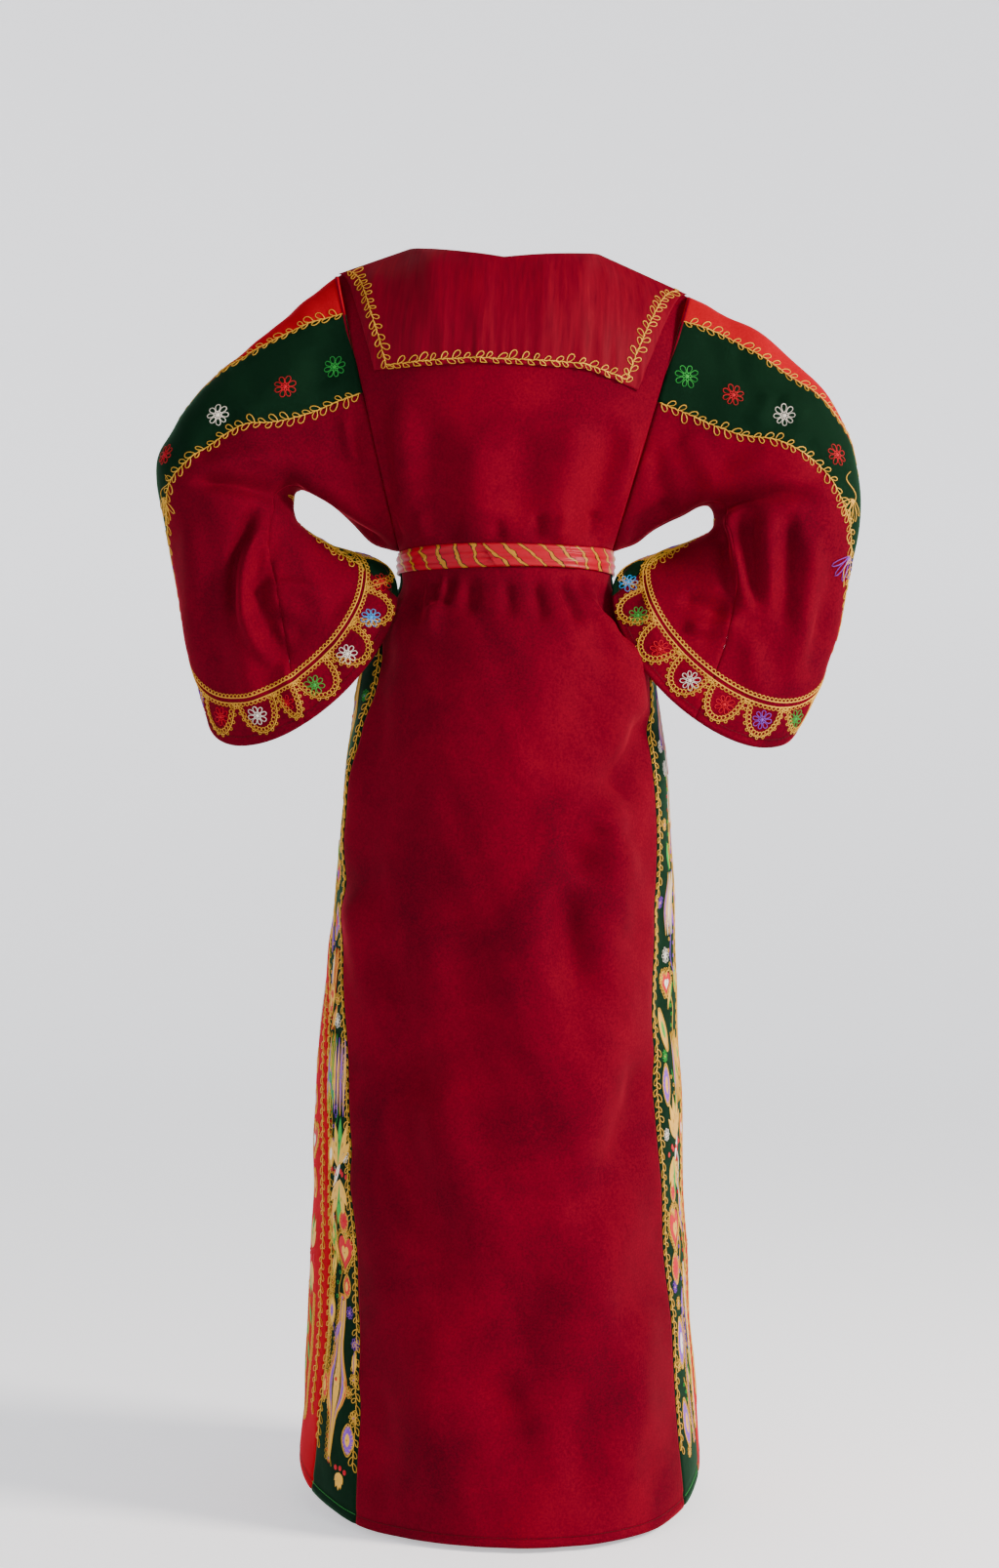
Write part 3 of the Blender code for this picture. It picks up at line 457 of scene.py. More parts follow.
# Small motifs that fill a strip: a group every so many millimetres, each with its stem, leaf, oval and flower
# this far above the group's foot; the shares across go round from group to group
GROUPS = 10
GROUP_PITCH = 85
GROUP_MOTIFS = (
    ("stem", 0, (0.15, 0.35), 0.008, 0.070, (0.1,)),
    ("leaf", 30, (0.40, 0.15), 0.009, 0.034, (0.4, -0.4)),
    ("oval", 45, (0.72, 0.62, 0.52), 0.015, 0.034, (0.1,)),
    ("flower", 55, (-0.55, -0.45, -0.35), 0.014, 0.014, (0.0,)),
)
LEFT_PAIRS = (("gold", "red"), ("lilac", "gold"), ("gold", "green"), ("cream", "gold"), ("green", "lilac"))
RIGHT_PAIRS = (("gold", "green"), ("lilac", "gold"), ("gold", "lilac"), ("cream", "red"), ("green", "gold"))


def filling(foot, pairs):
    """Groups of small motifs from a height in millimetres above the hem, in pairs of threads that go
    round. The ovals take each pair the other way about."""
    motifs = []
    for group in range(GROUPS):
        first, second = pairs[group % len(pairs)]
        for kind, above, shares, width, length, turns in GROUP_MOTIFS:
            height = (foot + group * GROUP_PITCH + above) / 1000
            share, turn = shares[group % len(shares)], turns[group % len(turns)]
            colours = (second, first) if kind == "oval" else (first, second)
            motifs.append(Motif(kind, height, share, width, length, turn, *colours))
    return motifs


STRIP_MOTIFS = {
    "left": table(Motif, MOTIF_UNITS, """
        bottle 142 5 44 186 0 lilac gold   loops 205 72 12 120 0 gold gold
        oval 84 -62 21 36 10 lilac gold   flower 110 -78 15 15 0 gold lilac
        flower 152 -80 15 15 0 gold lilac   leaf 170 -80 9 26 10 gold lilac
        flower 190 -80 14 14 0 lilac gold   fan 45 -35 30 20 310 gold gold
        oval 318 -25 20 26 0 red red   heart 282 -25 36 44 0 red gold   oval 247 -28 17 26 0 red gold
        stem 290 45 6 110 0 gold red   leaf 310 62 10 36 20 gold red   leaf 262 58 10 36 -20 gold green
        fan 362 -15 52 50 314 gold green   fan 372 10 50 56 0 gold green   stem 395 75 5 80 0 gold red
        stripes 475 -30 28 85 5 lilac gold   stripes 470 50 20 90 -5 green lilac
        flower 535 -20 16 16 0 cream cream   oval 560 25 15 26 0 gold red
        stripes 590 -15 18 50 0 red cream   oval 645 -20 17 42 0 lilac red
        loops 650 60 8 60 0 gold gold   heart 695 0 24 28 0 red lilac   leaf 722 20 8 26 30 green gold
        flower 752 -15 18 18 0 gold gold   stem 790 10 6 80 0 gold green
        flower 800 -45 17 17 0 cream cream   bottle 872 0 26 110 0 lilac gold
        stem 955 0 6 50 0 gold red   leaf 985 0 10 30 0 gold green
    """) + filling(80, LEFT_PAIRS),
    "right": table(Motif, MOTIF_UNITS, """
        oval 78 -20 26 58 0 lilac gold   flower 46 -20 14 14 0 gold gold
        loops 120 25 14 150 0 gold lilac   loops 150 75 14 190 0 gold cream
        oval 168 -30 24 60 0 lilac cream   flower 212 -30 15 15 0 gold lilac
        oval 250 -25 24 36 0 red red   heart 292 -20 36 50 0 red gold   oval 335 -20 20 26 0 red red
        stem 300 50 6 120 0 gold red   fan 372 -10 50 46 314 gold green   fan 388 10 50 52 0 gold gold
        oval 455 -40 19 48 0 lilac gold   stripes 465 35 26 80 0 gold lilac
        oval 515 -35 19 50 10 gold green   heart 562 -10 26 30 0 red cream
        flower 595 -20 18 18 0 cream cream   stem 600 50 6 90 0 gold lilac
        stripes 650 0 24 70 0 cream lilac   leaf 705 -20 10 34 20 green gold
        stem 745 10 6 100 0 gold green   flower 800 -10 17 17 0 cream cream
        stripes 855 0 22 70 0 lilac gold   flower 905 0 17 17 0 lilac cream
        heart 940 0 18 22 0 red red   stem 975 0 6 50 0 gold red   oval 1005 0 10 18 0 red red
    """) + filling(92, RIGHT_PAIRS),
}
STRIP_RAILS = (-0.86, 0.84)
STRIP_RAIL_ENDS = (0.96, 0.06)
FRONT_RAIL = -0.955
FRONT_RAIL_ENDS = (0.56, 0.08)
RAIL_POINTS = 200
FRONT_MOTIFS = table(Motif, MOTIF_UNITS, """
    arch 130 -86 50 150 314 green gold   fan 235 -86 52 40 314 gold green
    fan 250 -86 50 40 0 gold green   oval 325 -87 24 34 0 red gold   heart 372 -87 34 38 0 red cream
    oval 418 -87 22 34 0 red cream   oval 462 -87 18 30 0 red gold   loops 520 -88 10 60 0 cream gold
""")

# Stage: lights, camera and floor. share: part of the named power
Light = namedtuple("Light", "name place target width height power share colour")
LIGHTS = [
    Light("key", (-2.9, 1.45, 0.85), (0.0, 0.0, -0.8), 0.8, 1.0, "key", 1.0, "#fff4ea"),
    Light("fill", (2.8, 2.2, 0.4), (0.0, 0.0, -0.6), 1.6, 2.0, "fill", 1.0, "#f2f5ff"),
    Light("top", (-0.6, 1.2, 2.2), (0.0, 0.0, -0.3), 1.6, 1.0, "fill", 1.0, "#ffffff"),
    Light("front", (0.6, -2.0, 2.2), (0.0, 0.0, -0.6), 1.6, 1.2, "fill", 1.0, "#ffffff"),
]
FLOOR = -1.3875
STAGE_MIDDLE = 0.01
STAGE_RADIUS = 5.6
STAGE_CURVE = 1.6
STAGE_HEIGHT = 6.0
STAGE_STEPS = 24
STAGE_COLUMNS = 97
CAMERA_LENS = 69.45
CAMERA_SENSOR = 36.0
CAMERA_PLACE = (0.0054, 3.35, -0.583)


def column(rows, name):
    """One named column of a table, as an array."""
    return np.array([getattr(row, name) for row in rows], float)


def smooth(knots, values, at):
    """Value at a place along a table: a cubic between two rows, with the slopes of the rows about them."""
    if knots[0] > knots[-1]:
        knots, values = knots[::-1], values[::-1]
    at = np.clip(at, knots[0], knots[-1])
    slope = np.gradient(values, knots)
    i = np.clip(np.searchsorted(knots, at, side="right") - 1, 0, len(knots) - 2)
    step = knots[i + 1] - knots[i]
    t = (at - knots[i]) / step
    start = (1 + 2 * t) * (1 - t) ** 2 * values[i] + t * (1 - t) ** 2 * step * slope[i]
    return start + t**2 * (3 - 2 * t) * values[i + 1] - t**2 * (1 - t) * step * slope[i + 1]


def ease(t):
    """0 to 1 with a soft start and end."""
    t = np.clip(t, 0.0, 1.0)
    return t * t * (3 - 2 * t)


def unit(vectors):
    """Vectors of length 1 along the last axis."""
    return vectors / np.maximum(np.linalg.norm(vectors, axis=-1, keepdims=True), TINY)


def run_length(points):
    """Length along a line of points, from 0 at the first."""
    return np.concatenate([[0], np.cumsum(np.linalg.norm(np.diff(points, axis=0), axis=-1))])


def grid_normals(points, closed=False, outward=1):
    """Unit normals of a grid: the cross product of its column step and its row step at each point."""
    if closed:
        ring = np.concatenate([points[:, -2:-1], points, points[:, 1:2]], axis=1)
        across = (ring[:, 2:] - ring[:, :-2]) / 2
    else:
        across = np.gradient(points, axis=1)
    return unit(np.cross(across, np.gradient(points, axis=0))) * outward


def crease_height(creases, points, normals):
    """How far each point moves out. A crease is a bell across a bowed line from (x1, z1) to (x2, z2):
    away is the distance to that line, the depth fades in at the start and out at the end, and the bell
    widens along it. It acts where the cloth faces the crease's side of the garment."""
    x, z = points[..., 0], points[..., 2]
    total = np.zeros(x.shape)
    for crease in creases:
        dx, dz = crease.x2 - crease.x1, crease.z2 - crease.z1
        length = np.hypot(dx, dz)
        t = ((x - crease.x1) * dx + (z - crease.z1) * dz) / length**2
        inside = np.clip(t, 0, 1)
        away = ((x - crease.x1) * dz - (z - crease.z1) * dx) / length - crease.bow * 4 * inside * (1 - inside)
        fade = ease(t / FADE_IN) * ease((1 - t) / FADE_OUT)
        bell = np.exp(-((away / (crease.reach * (NARROW_START + WIDEN * inside))) ** 2))
        facing = ease(crease.side * normals[..., 1] / FULL_FACING)
        total += crease.depth * fade * bell * facing
    return total


def ripple(x, z, table):
    """Slight unevenness of cloth: a sum of crossed waves, each with its lengths along x and z and its
    height."""
    total = 0.0
    for wave in table:
        total = total + wave.height * np.sin(2 * np.pi * (x / wave.along_x + z / wave.along_z) + wave.phase)
    return total


def skirt_at(z, angle):
    """Skirt surface at a height and an angle round it: a half ellipse behind the widest place, one before
    it."""
    z, angle = np.broadcast_arrays(np.asarray(z, float), np.radians((np.asarray(angle) + 180) % 360 - 180))
    read = {name: smooth(column(SKIRT, "z"), column(SKIRT, name), z) for name in Section._fields[1:]}
    behind = np.maximum(np.cos(angle), 0)
    ahead = np.maximum(-np.cos(angle), 0)
    half = np.where(angle >= 0, read["left"], read["right"])
    x = half * np.sin(angle) + read["lean"] * behind**2
    y = read["wide"] + (read["back"] - read["wide"]) * behind - (read["wide"] - read["front"]) * ahead
    forward = (read["back"] - y) / (read["back"] - read["front"])
    return np.stack([x, y, z + read["rise"] * ease((forward - RISE_FROM) / RISE_OVER)], axis=-1)


def seam_angle(z, name):
    """Angle of a side strip's seam at a height."""
    return smooth(column(SEAMS, "z"), column(SEAMS, name), np.asarray(z, float))


def armhole_angles(stations):
    """Angles down the back half of an armhole: the joints of the sleeve's strips, evenly split between."""
    first = stations[0]
    joints = (0, first.top, first.green, first.under)
    runs = [np.linspace(*ends, count) for *ends, count in zip(joints, joints[1:], ARMHOLE_POINTS)]
    return np.concatenate([runs[0], runs[1][1:], runs[2][1:]])


def torso_at(facing, row, across):
    """Torso surface, back (facing 1) or front (-1), at a row down from the shoulder line and a share of
    the half width. A row is part of an ellipse whose ends lie on the two armholes, and the rows ease into
    it."""
    row, across = np.broadcast_arrays(np.asarray(row, float), np.clip(across, -1, 1))
    angles = [armhole_angles(SLEEVES[word]) for word in ("left", "right")]
    left, right = (np.radians(np.interp(row, np.arange(len(a)), a)) for a in angles)
    toward_left = (1 + across) / 2
    down = (1 - (np.cos(left) * toward_left + np.cos(right) * (1 - toward_left))) / 2
    tips = {word: SLEEVES[word][0] for word in SLEEVES}
    top_half = np.where(across > 0, tips["left"].out_x, tips["right"].out_x)
    low_half = np.where(across > 0, tips["left"].in_x, tips["right"].in_x)
    half = top_half + (low_half - top_half) * down
    ends = FILL[0].back * np.where(across > 0, np.sin(left), np.sin(right))
    middle = smooth(column(TORSO, "down"), column(TORSO, "back" if facing > 0 else "front"), down)
    spread = np.arccos(np.clip(ends / middle, 0, 1))
    x = half * np.sin(across * spread) / np.sin(spread)
    y = middle * np.cos(across * spread)
    neck = np.clip(1 - (x / SHOULDER_NECK_X) ** 2, 0, 1)
    line_y = (NECK_BACK_DEPTH if facing > 0 else NECK_FRONT_DEPTH) * neck
    y = line_y + (y - line_y) * np.sqrt(1 - (1 - np.clip(down / SHOULDER_ROUND, 0, 1)) ** 2)
    y = np.where(np.abs(across) == 1, ends, y)
    first_x = top_half * np.sin(across * np.pi / 2)
    line_z = np.interp(first_x, SHOULDER_LINE_X, SHOULDER_LINE_Z)
    if facing < 0:
        scoop = np.clip(1 - (first_x / SHOULDER_NECK_X) ** 2, 0, 1)
        line_z = line_z - NECK_FRONT_DROP * scoop**NECK_FRONT_CURVE
    return np.stack([x, facing * y, line_z + (ARMHOLE_BOTTOM - line_z) * down], axis=-1)


def sleeve_at(word, station, angle):
    """Sleeve surface at a station and an angle: an ellipse from the outer to the inner point, as deep as
    its fill, with its back layer run past the front one by the tilt."""
    station, angle = np.broadcast_arrays(np.asarray(station, float), np.radians(angle))
    knots = np.arange(float(len(FILL)))
    line = {name: smooth(knots, column(SLEEVES[word], name), station) for name in Station._fields[:4]}
    fill = {name: smooth(knots, column(FILL, name), station) for name in Fill._fields}
    reach = np.stack([line["out_x"] - line["in_x"], line["out_z"] - line["in_z"]], axis=-1) / 2
    middle = np.stack([line["out_x"] + line["in_x"], line["out_z"] + line["in_z"]], axis=-1) / 2
    past = unit(np.stack([reach[..., 1], -reach[..., 0]], axis=-1))
    depth = np.where(np.sin(angle) > 0, fill["back"], fill["front"]) * np.sin(angle)
    flat = middle + reach * np.cos(angle)[..., None] + past * (fill["tilt"] * np.sin(angle))[..., None]
    return np.stack([SIDES[word] * flat[..., 0], fill["mid"] + depth, flat[..., 1]], axis=-1)


def spread(count, near):
    """Shares from 0 to 1: a few close to each edge, the first at the share called near, then an even
    run."""
    edge = near * np.array(SEAM_STEPS)
    return np.concatenate([edge, np.linspace(EVEN_FROM * near, 1 - EVEN_FROM * near, count), 1 - edge[::-1]])


def sleeve_ring(word, even):
    """Whole sleeve as a closed ring of columns, with its creases. Returns points, normals and where each
    strip starts and ends. even: columns spread evenly, for laying threads; or bunched at the seams, for
    the cloth."""
    station = np.linspace(0, len(FILL) - 1, SLEEVE_ROWS)[:, None]
    knots = np.arange(float(len(FILL)))
    seams = {name: smooth(knots, column(SLEEVES[word], name), station) for name in Station._fields[4:]}
    angles, spans, start = [], {}, 0
    for strip in STRIPS:
        share = np.linspace(0, 1, strip.columns) if even else spread(strip.columns, SEAM_SHARE)
        first = seams[strip.start] - (360 if strip.start == "front" else 0)
        angles.append(first + (seams[strip.end] - first) * share[None, :-1])
        spans[strip.name] = (start, start + len(share) - 1)
        start += len(share) - 1
    angles.append(seams["front"])
    points = sleeve_at(word, station, np.concatenate(angles, axis=1))
    outward = -SIDES[word]
    normals = grid_normals(points, True, outward)
    height = crease_height(SLEEVE_CREASES[word], points, normals)
    height = height + ripple(points[..., 0], points[..., 2], RIPPLES)
    points = points + normals * (height * ease(station / ARMHOLE_CALM))[..., None]
    return points, grid_normals(points, True, outward), spans


def skirt_ring(counts):
    """Whole skirt below the underarm as a closed ring of columns, with its creases: back, left strip,
    front, right strip. Returns points, normals and where each panel starts and ends."""
    z = np.linspace(ARMHOLE_BOTTOM, HEM, SKIRT_ROWS)[:, None]
    seams = {name: seam_angle(z, name) for name in Seam._fields[1:]}
    edges = [-seams["right_back"], seams["left_back"], seams["left_front"],
             360 - seams["right_front"], 360 - seams["right_back"]]
    angles, spans, start = [], {}, 0
    for name, share, first, last in zip(PANELS, counts, edges, edges[1:]):
        angles.append(first + (last - first) * share[None, :-1])
        spans[name] = (start, start + len(share) - 1)
        start += len(share) - 1
    angles.append(edges[-1])
    points = skirt_at(z, np.concatenate(angles, axis=1))
    normals = grid_normals(points, True)
    height = crease_height(BODY_CREASES, points, normals)
    height += ripple(points[..., 0], points[..., 2], RIPPLES) * ease((ARMHOLE_BOTTOM - z) / WAIST_CALM)
    points = points + normals * height[..., None]
    return points, grid_normals(points, True), spans


def torso_grid(facing, share):
    """Torso above the underarm, back or front, with its creases, calm at the armholes."""
    across = (2 * share[None, :] - 1) * facing
    row = np.linspace(0, len(armhole_angles(SLEEVES["left"])) - 1, TORSO_ROWS + 1)[:-1, None]
    points = torso_at(facing, row, across)
    normals = grid_normals(points)
    height = crease_height(BODY_CREASES, points, normals) * ease((1 - np.abs(across)) / ARMHOLE_SHARE)
    return points + normals * height[..., None]


def body_panel(ring, ring_normals, spans, name, share):
    """Back or front panel in one piece: the torso's rows on top of its part of the skirt's ring."""
    start, end = spans[name]
    top = torso_grid(1 if name == "back_panel" else -1, share)
    points = np.concatenate([top, ring[:, start:end + 1]])
    normals = grid_normals(points)
    normals[len(top) + 1:] = ring_normals[1:, start:end + 1]
    return points, normals


def sewn(points, normals, top=False, bottom=False):
    """Cloth drawn in along its seams: a small dip beside both long edges, and beside the top or the
    bottom."""
    height = np.zeros(points.shape[:2])
    steps = np.linalg.norm(np.diff(points, axis=1), axis=-1)
    from_start = np.concatenate([np.zeros((len(points), 1)), np.cumsum(steps, axis=1)], axis=1)
    edges = [from_start, from_start[:, -1:] - from_start]
    rows = np.linalg.norm(np.diff(points, axis=0), axis=-1)
    from_top = np.concatenate([np.zeros((1, points.shape[1])), np.cumsum(rows, axis=0)])
    if top:
        edges.append(from_top)
    if bottom:
        edges.append(np.abs(from_top[-1:] - from_top - HEM_TURN))
    for distance in edges:
        height -= SEAM_DIP * np.exp(-((distance / SEAM_REACH) ** 2))
    points = points + normals * height[..., None]
    for edge, inside in ((0, 1), (-1, -2)):
        points[:, edge] += unit(points[:, inside] - points[:, edge]) * SEAM_GAP
    return points


def new_object(name, points, faces, materials, indices=None, uv=None):
    """Mesh object at the origin, shaded smooth, from arrays of points and of four-cornered faces."""
    mesh = bpy.data.meshes.new(name)
    mesh.vertices.add(len(points))
    mesh.vertices.foreach_set("co", points.astype(np.float32).ravel())
    mesh.loops.add(faces.size)
    mesh.loops.foreach_set("vertex_index", faces.astype(np.int32).ravel())
    mesh.polygons.add(len(faces))
    mesh.polygons.foreach_set("loop_start", np.arange(0, faces.size, faces.shape[1], dtype=np.int32))
    if indices is not None:
        mesh.polygons.foreach_set("material_index", indices.astype(np.int32))
    mesh.polygons.foreach_set("use_smooth", np.ones(len(faces), bool))
    if uv is not None:
        layer = mesh.uv_layers.new(name="cloth")
        layer.data.foreach_set("uv", uv[faces.ravel()].astype(np.float32).ravel())
    mesh.update(calc_edges=True)
    mesh.validate()
    for material in materials:
        mesh.materials.append(material)
    thing = bpy.data.objects.new(name, mesh)
    bpy.context.scene.collection.objects.link(thing)
    return thing


def make_shell(name, points, normals, thickness, material, outward=1, closed=False):
    """Closed thin shell: the grid of points outside, the same grid a thickness further in, and a rim
    round the edge. Its UV map is the cloth's own length in metres across and along."""
    across = np.linalg.norm(np.diff(points, axis=1), axis=-1)
    along = np.linalg.norm(np.diff(points, axis=0), axis=-1).mean(axis=1)
    u = np.concatenate([np.zeros((len(points), 1)), np.cumsum(across, axis=1)], axis=1)
    u -= u[:, -1:] / 2
    v = np.broadcast_to(np.concatenate([[0], np.cumsum(along)])[:, None], u.shape)
    uv = np.stack([u, v], -1)
    if closed:
        points, normals, uv = points[:, :-1], normals[:, :-1], uv[:, :-1]
    rows, columns = points.shape[:2]
    count = rows * columns
    inner = points - normals * thickness
    number = np.arange(count).reshape(rows, columns)
    if closed:
        number = np.concatenate([number, number[:, :1]], axis=1)
    quads = np.stack([number[:-1, :-1], number[:-1, 1:], number[1:, 1:], number[1:, :-1]], -1).reshape(-1, 4)
    if closed:
        loops = [number[0], number[-1][::-1]]
    else:
        loops = [np.concatenate([number[0], number[1:, -1], number[-1, -2::-1], number[-2::-1, 0]])]
    rims = [np.stack([e[1:], e[:-1], e[:-1] + count, e[1:] + count], -1) for e in loops]
    faces = np.concatenate([quads, quads[:, ::-1] + count, *rims])
    if outward < 0:
        faces = faces[:, ::-1]
    both = np.concatenate([points.reshape(-1, 3), inner.reshape(-1, 3)])
    uv = uv.reshape(-1, 2)
    return new_object(name, both, faces, [material], uv=np.concatenate([uv, uv]))


def finish_cloth(thing, node):
    """The shell rides on the body and stands for its CAD piece."""
    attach(thing, BODY)
    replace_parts(thing, node)


# ---- Threads ---------------------------------------------------------------------------------------------

Cloth = namedtuple("Cloth", "points normals")
Spot = namedtuple("Spot", "cloth row column heading")


def lay_on(grid, row, place):
    """Values of a grid at decimal rows and columns, even between its four nearest points."""
    row = np.clip(row, 0, grid.shape[0] - INSIDE)
    place = np.clip(place, 0, grid.shape[1] - INSIDE)
    i, j = row.astype(int), place.astype(int)
    u, v = (row - i)[..., None], (place - j)[..., None]
    upper = grid[i, j] * (1 - v) + grid[i, j + 1] * v
    lower = grid[i + 1, j] * (1 - v) + grid[i + 1, j + 1] * v
    return upper * (1 - u) + lower * u


def cloth_steps(spot):
    """Steps of one column and of one row at a spot, and the two unit directions in the cloth that they
    give."""
    row, place = np.broadcast_arrays(np.asarray(spot.row, float), np.asarray(spot.column, float))
    grid = spot.cloth.points
    per_column = lay_on(grid, row, place + 0.5) - lay_on(grid, row, place - 0.5)
    per_row = lay_on(grid, row + 0.5, place) - lay_on(grid, row - 0.5, place)
    across = unit(per_column)
    along = unit(per_row - across * (per_row * across).sum(-1, keepdims=True))
    return per_column, per_row, across, along


def row_step(per_row, along):
    """How far one row goes along the cloth, kept from vanishing where the rows run very aslant."""
    return np.maximum((per_row * along).sum(-1), SLANT * np.linalg.norm(per_row, axis=-1))


def stamp(spot, flat):
    """Points and normals on the cloth for a flat drawing in metres: x across and y along the cloth,
    turned by the spot's heading. Each drawn point is turned into rows and columns by the cloth's own
    steps at the spot."""
    per_column, per_row, across, along = cloth_steps(spot)
    heading = np.asarray(spot.heading, float)
    x = flat[..., 0] * np.cos(heading) - flat[..., 1] * np.sin(heading)
    y = flat[..., 0] * np.sin(heading) + flat[..., 1] * np.cos(heading)
    rows = y / row_step(per_row, along)
    slant = SLANT * np.linalg.norm(per_row, axis=-1)
    columns = (x - np.clip((per_row * across).sum(-1), -slant, slant) * rows) / (per_column * across).sum(-1)
    row, place = spot.row + rows, spot.column + columns
    return lay_on(spot.cloth.points, row, place), unit(lay_on(spot.cloth.normals, row, place))


class Stitching:
    """Threads and pads gathered into one mesh, with a thread colour for each face."""

    def __init__(self):
        self.points = []
        self.faces = []
        self.colours = []
        self.count = 0

    def add(self, points, faces, colour):
        self.points.append(points.reshape(-1, 3))
        self.faces.append(faces + self.count)
        self.colours.append(np.full(len(faces), THREADS.index(colour)))
        self.count += points.size // 3

    def tube(self, centre, normal, radius, colour, closed, lift, sides):
        """Round thread along lines of points: a ring about every point, in the plane of the cloth's
        normal and the direction across the thread."""
        centre = centre + normal * radius * lift
        if closed:
            ahead = np.roll(centre, -1, axis=-2) - np.roll(centre, 1, axis=-2)
        else:
            ahead = np.gradient(centre, axis=-2)
        aside = unit(np.cross(ahead, normal))
        turn = np.arange(sides) * 2 * np.pi / sides
        ring = np.cos(turn)[:, None] * aside[..., None, :] + np.sin(turn)[:, None] * normal[..., None, :]
        points = centre[..., None, :] + radius * ring
        number = np.arange(points.size // 3).reshape(-1, centre.shape[-2], sides)
        after = np.roll(number, -1, axis=1)
        if not closed:
            number, after = number[:, :-1], after[:, :-1]
        beside, both = np.roll(number, -1, axis=2), np.roll(after, -1, axis=2)
        self.add(points, np.stack([number, after, both, beside], -1).reshape(-1, 4), colour)

    def cord(self, spot, flat, radius, colour, closed=True, lift=CORD_LIFT, sides=3):
        """Round thread along each drawn line, on the cloth at a spot or at many spots."""
        centre, normal = stamp(spot, flat)
        self.tube(centre, normal, radius, colour, closed, lift, sides)

    def pad(self, spot, outline, dome, colour, lift=0.3):
        """Filled satin-stitch shape: rings drawn in from the outline to its middle, raised as a low
        dome."""
        middle = outline.mean(axis=-2, keepdims=True)
        share = np.array(PAD_RINGS)[:, None, None]
        flat = middle[..., None, :, :] + (outline - middle)[..., None, :, :] * share
        row, place, heading = (np.asarray(v, float)[..., None] for v in (spot.row, spot.column, spot.heading))
        centre, normal = stamp(Spot(spot.cloth, row, place, heading), flat)
        height = lift * MM + dome * MM * (1 - share[..., 0] ** 2)
        points = centre + normal * height[..., None]
        rings, round_count = len(PAD_RINGS), outline.shape[-2]
        number = np.arange(points.size // 3).reshape(-1, rings, round_count)
        outer, inner = number[:, :-1], number[:, 1:]
        next_outer, next_inner = np.roll(outer, -1, axis=2), np.roll(inner, -1, axis=2)
        self.add(points, np.stack([outer, next_outer, next_inner, inner], -1).reshape(-1, 4), colour)

    def build(self, name):
        """One object of all the threads, riding with the cloth it is sewn to."""
        thing = new_object(name, np.concatenate(self.points), np.concatenate(self.faces),
                           [thread_material(colour) for colour in THREADS], np.concatenate(self.colours))
        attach(thing, BODY)
        return thing


# ---- Materials -------------------------------------------------------------------------------------------


def linear(code):
    """Hex sRGB colour as the linear colour that shaders use."""
    values = np.array([int(code[i:i + 2], 16) for i in (1, 3, 5)]) / 255
    values = np.where(values <= 0.04045, values / 12.92, ((values + 0.055) / 1.055) ** 2.4)
    return (*values.tolist(), 1.0)


def new_material(name, colour, roughness, settings=None):
    """Material with a Principled shader whose fixed values are set on its sockets."""
    material = bpy.data.materials.get(name)
    if material:
        return material, None
    material = bpy.data.materials.new(name)
    material.use_nodes = True
    shader = material.node_tree.nodes["Principled BSDF"]
    shader.inputs["Base Color"].default_value = linear(colour)
    shader.inputs["Roughness"].default_value = roughness
    for socket, value in (settings or {}).items():
        shader.inputs[socket].default_value = value
    return material, shader


def add_node(material, kind, settings=None, links=None):
    """One node of a kind, with its settings, and links from other nodes' outputs to its inputs."""
    node = material.node_tree.nodes.new(kind)
    for key, value in (settings or {}).items():
        if isinstance(key, int) or key in node.inputs:
            node.inputs[key].default_value = value
        else:
            setattr(node, key, value)
    for key, output in (links or {}).items():
        material.node_tree.links.new(output, node.inputs[key])
    return node


def noise(material, where, scale, detail=2.0, **settings):
    """Noise at a scale in turns a metre, as a share from 0 to 1."""
    settings = {"Scale": scale, "Detail": detail, **settings}
    return add_node(material, "ShaderNodeTexNoise", settings, {"Vector": where}).outputs["Fac"]


def relief(material, shader, height, strength, depth):
    """Fine relief on a surface from a height between 0 and 1, this deep in metres."""
    bump = add_node(material, "ShaderNodeBump", {"Strength": strength, "Distance": depth}, {"Height": height})
    material.node_tree.links.new(bump.outputs["Normal"], shader.inputs["Normal"])


def mixed_colour(material, share, first, second):
    """Colour that goes from the first to the second as share goes from 0 to 1."""
    node = add_node(material, "ShaderNodeMix", {"data_type": "RGBA"}, {0: share})
    node.inputs[6].default_value = linear(first)
    node.inputs[7].default_value = linear(second)
    return node.outputs[2]


def velvet(name, deep, bright, sheen):
    """Cut-pile velvet. Patches of a few centimetres drift between a deep and a bright tone: painted light and
    shade, the pile's sheen and the lit and shaded parts of the cloth laid into the base colour at random; a
    fine grain of random tone breaks it up, and the shader's sheen lights the folds where the pile is seen from
    the side."""
    material, shader = new_material(name, deep, 0.8, {
        "Sheen Weight": 0.5, "Sheen Roughness": 0.28, "Sheen Tint": linear(sheen),
        "IOR": 1.08,
    })
    if shader is None:
        return material
    where = add_node(material, "ShaderNodeTexCoord").outputs["Object"]
    # Painted light and shade: noise patches that mix the shaded and the lit tone into the base colour
    light_patch_noise = noise(material, where, 1 / LIGHT_SHADE_PATCH, 3.0, Roughness=0.55, Distortion=0.6)
    painted_light_drift = add_node(material, "ShaderNodeMapRange", {"From Min": 0.32, "From Max": 0.72}, {"Value": light_patch_noise})
    grain = noise(material, where, 1 / PILE_GRAIN)
    speck = add_node(material, "ShaderNodeMapRange",
                     {"From Min": 0.3, "From Max": 0.7, "To Min": 0.0, "To Max": 0.2}, {"Value": grain})
    # share: the painted light and shade of the patches, plus the fine grain of random tone
    share = add_node(material, "ShaderNodeMath", {"operation": "MULTIPLY_ADD", 1: 0.26},
                     {0: painted_light_drift.outputs["Result"], 2: speck.outputs["Result"]})
    colour = mixed_colour(material, share.outputs["Value"], deep, bright)
    material.node_tree.links.new(colour, shader.inputs["Base Color"])
    relief(material, shader, noise(material, where, 1 / PILE_HOLLOW, 4.0), 0.30, PILE_DEPTH)
    return material


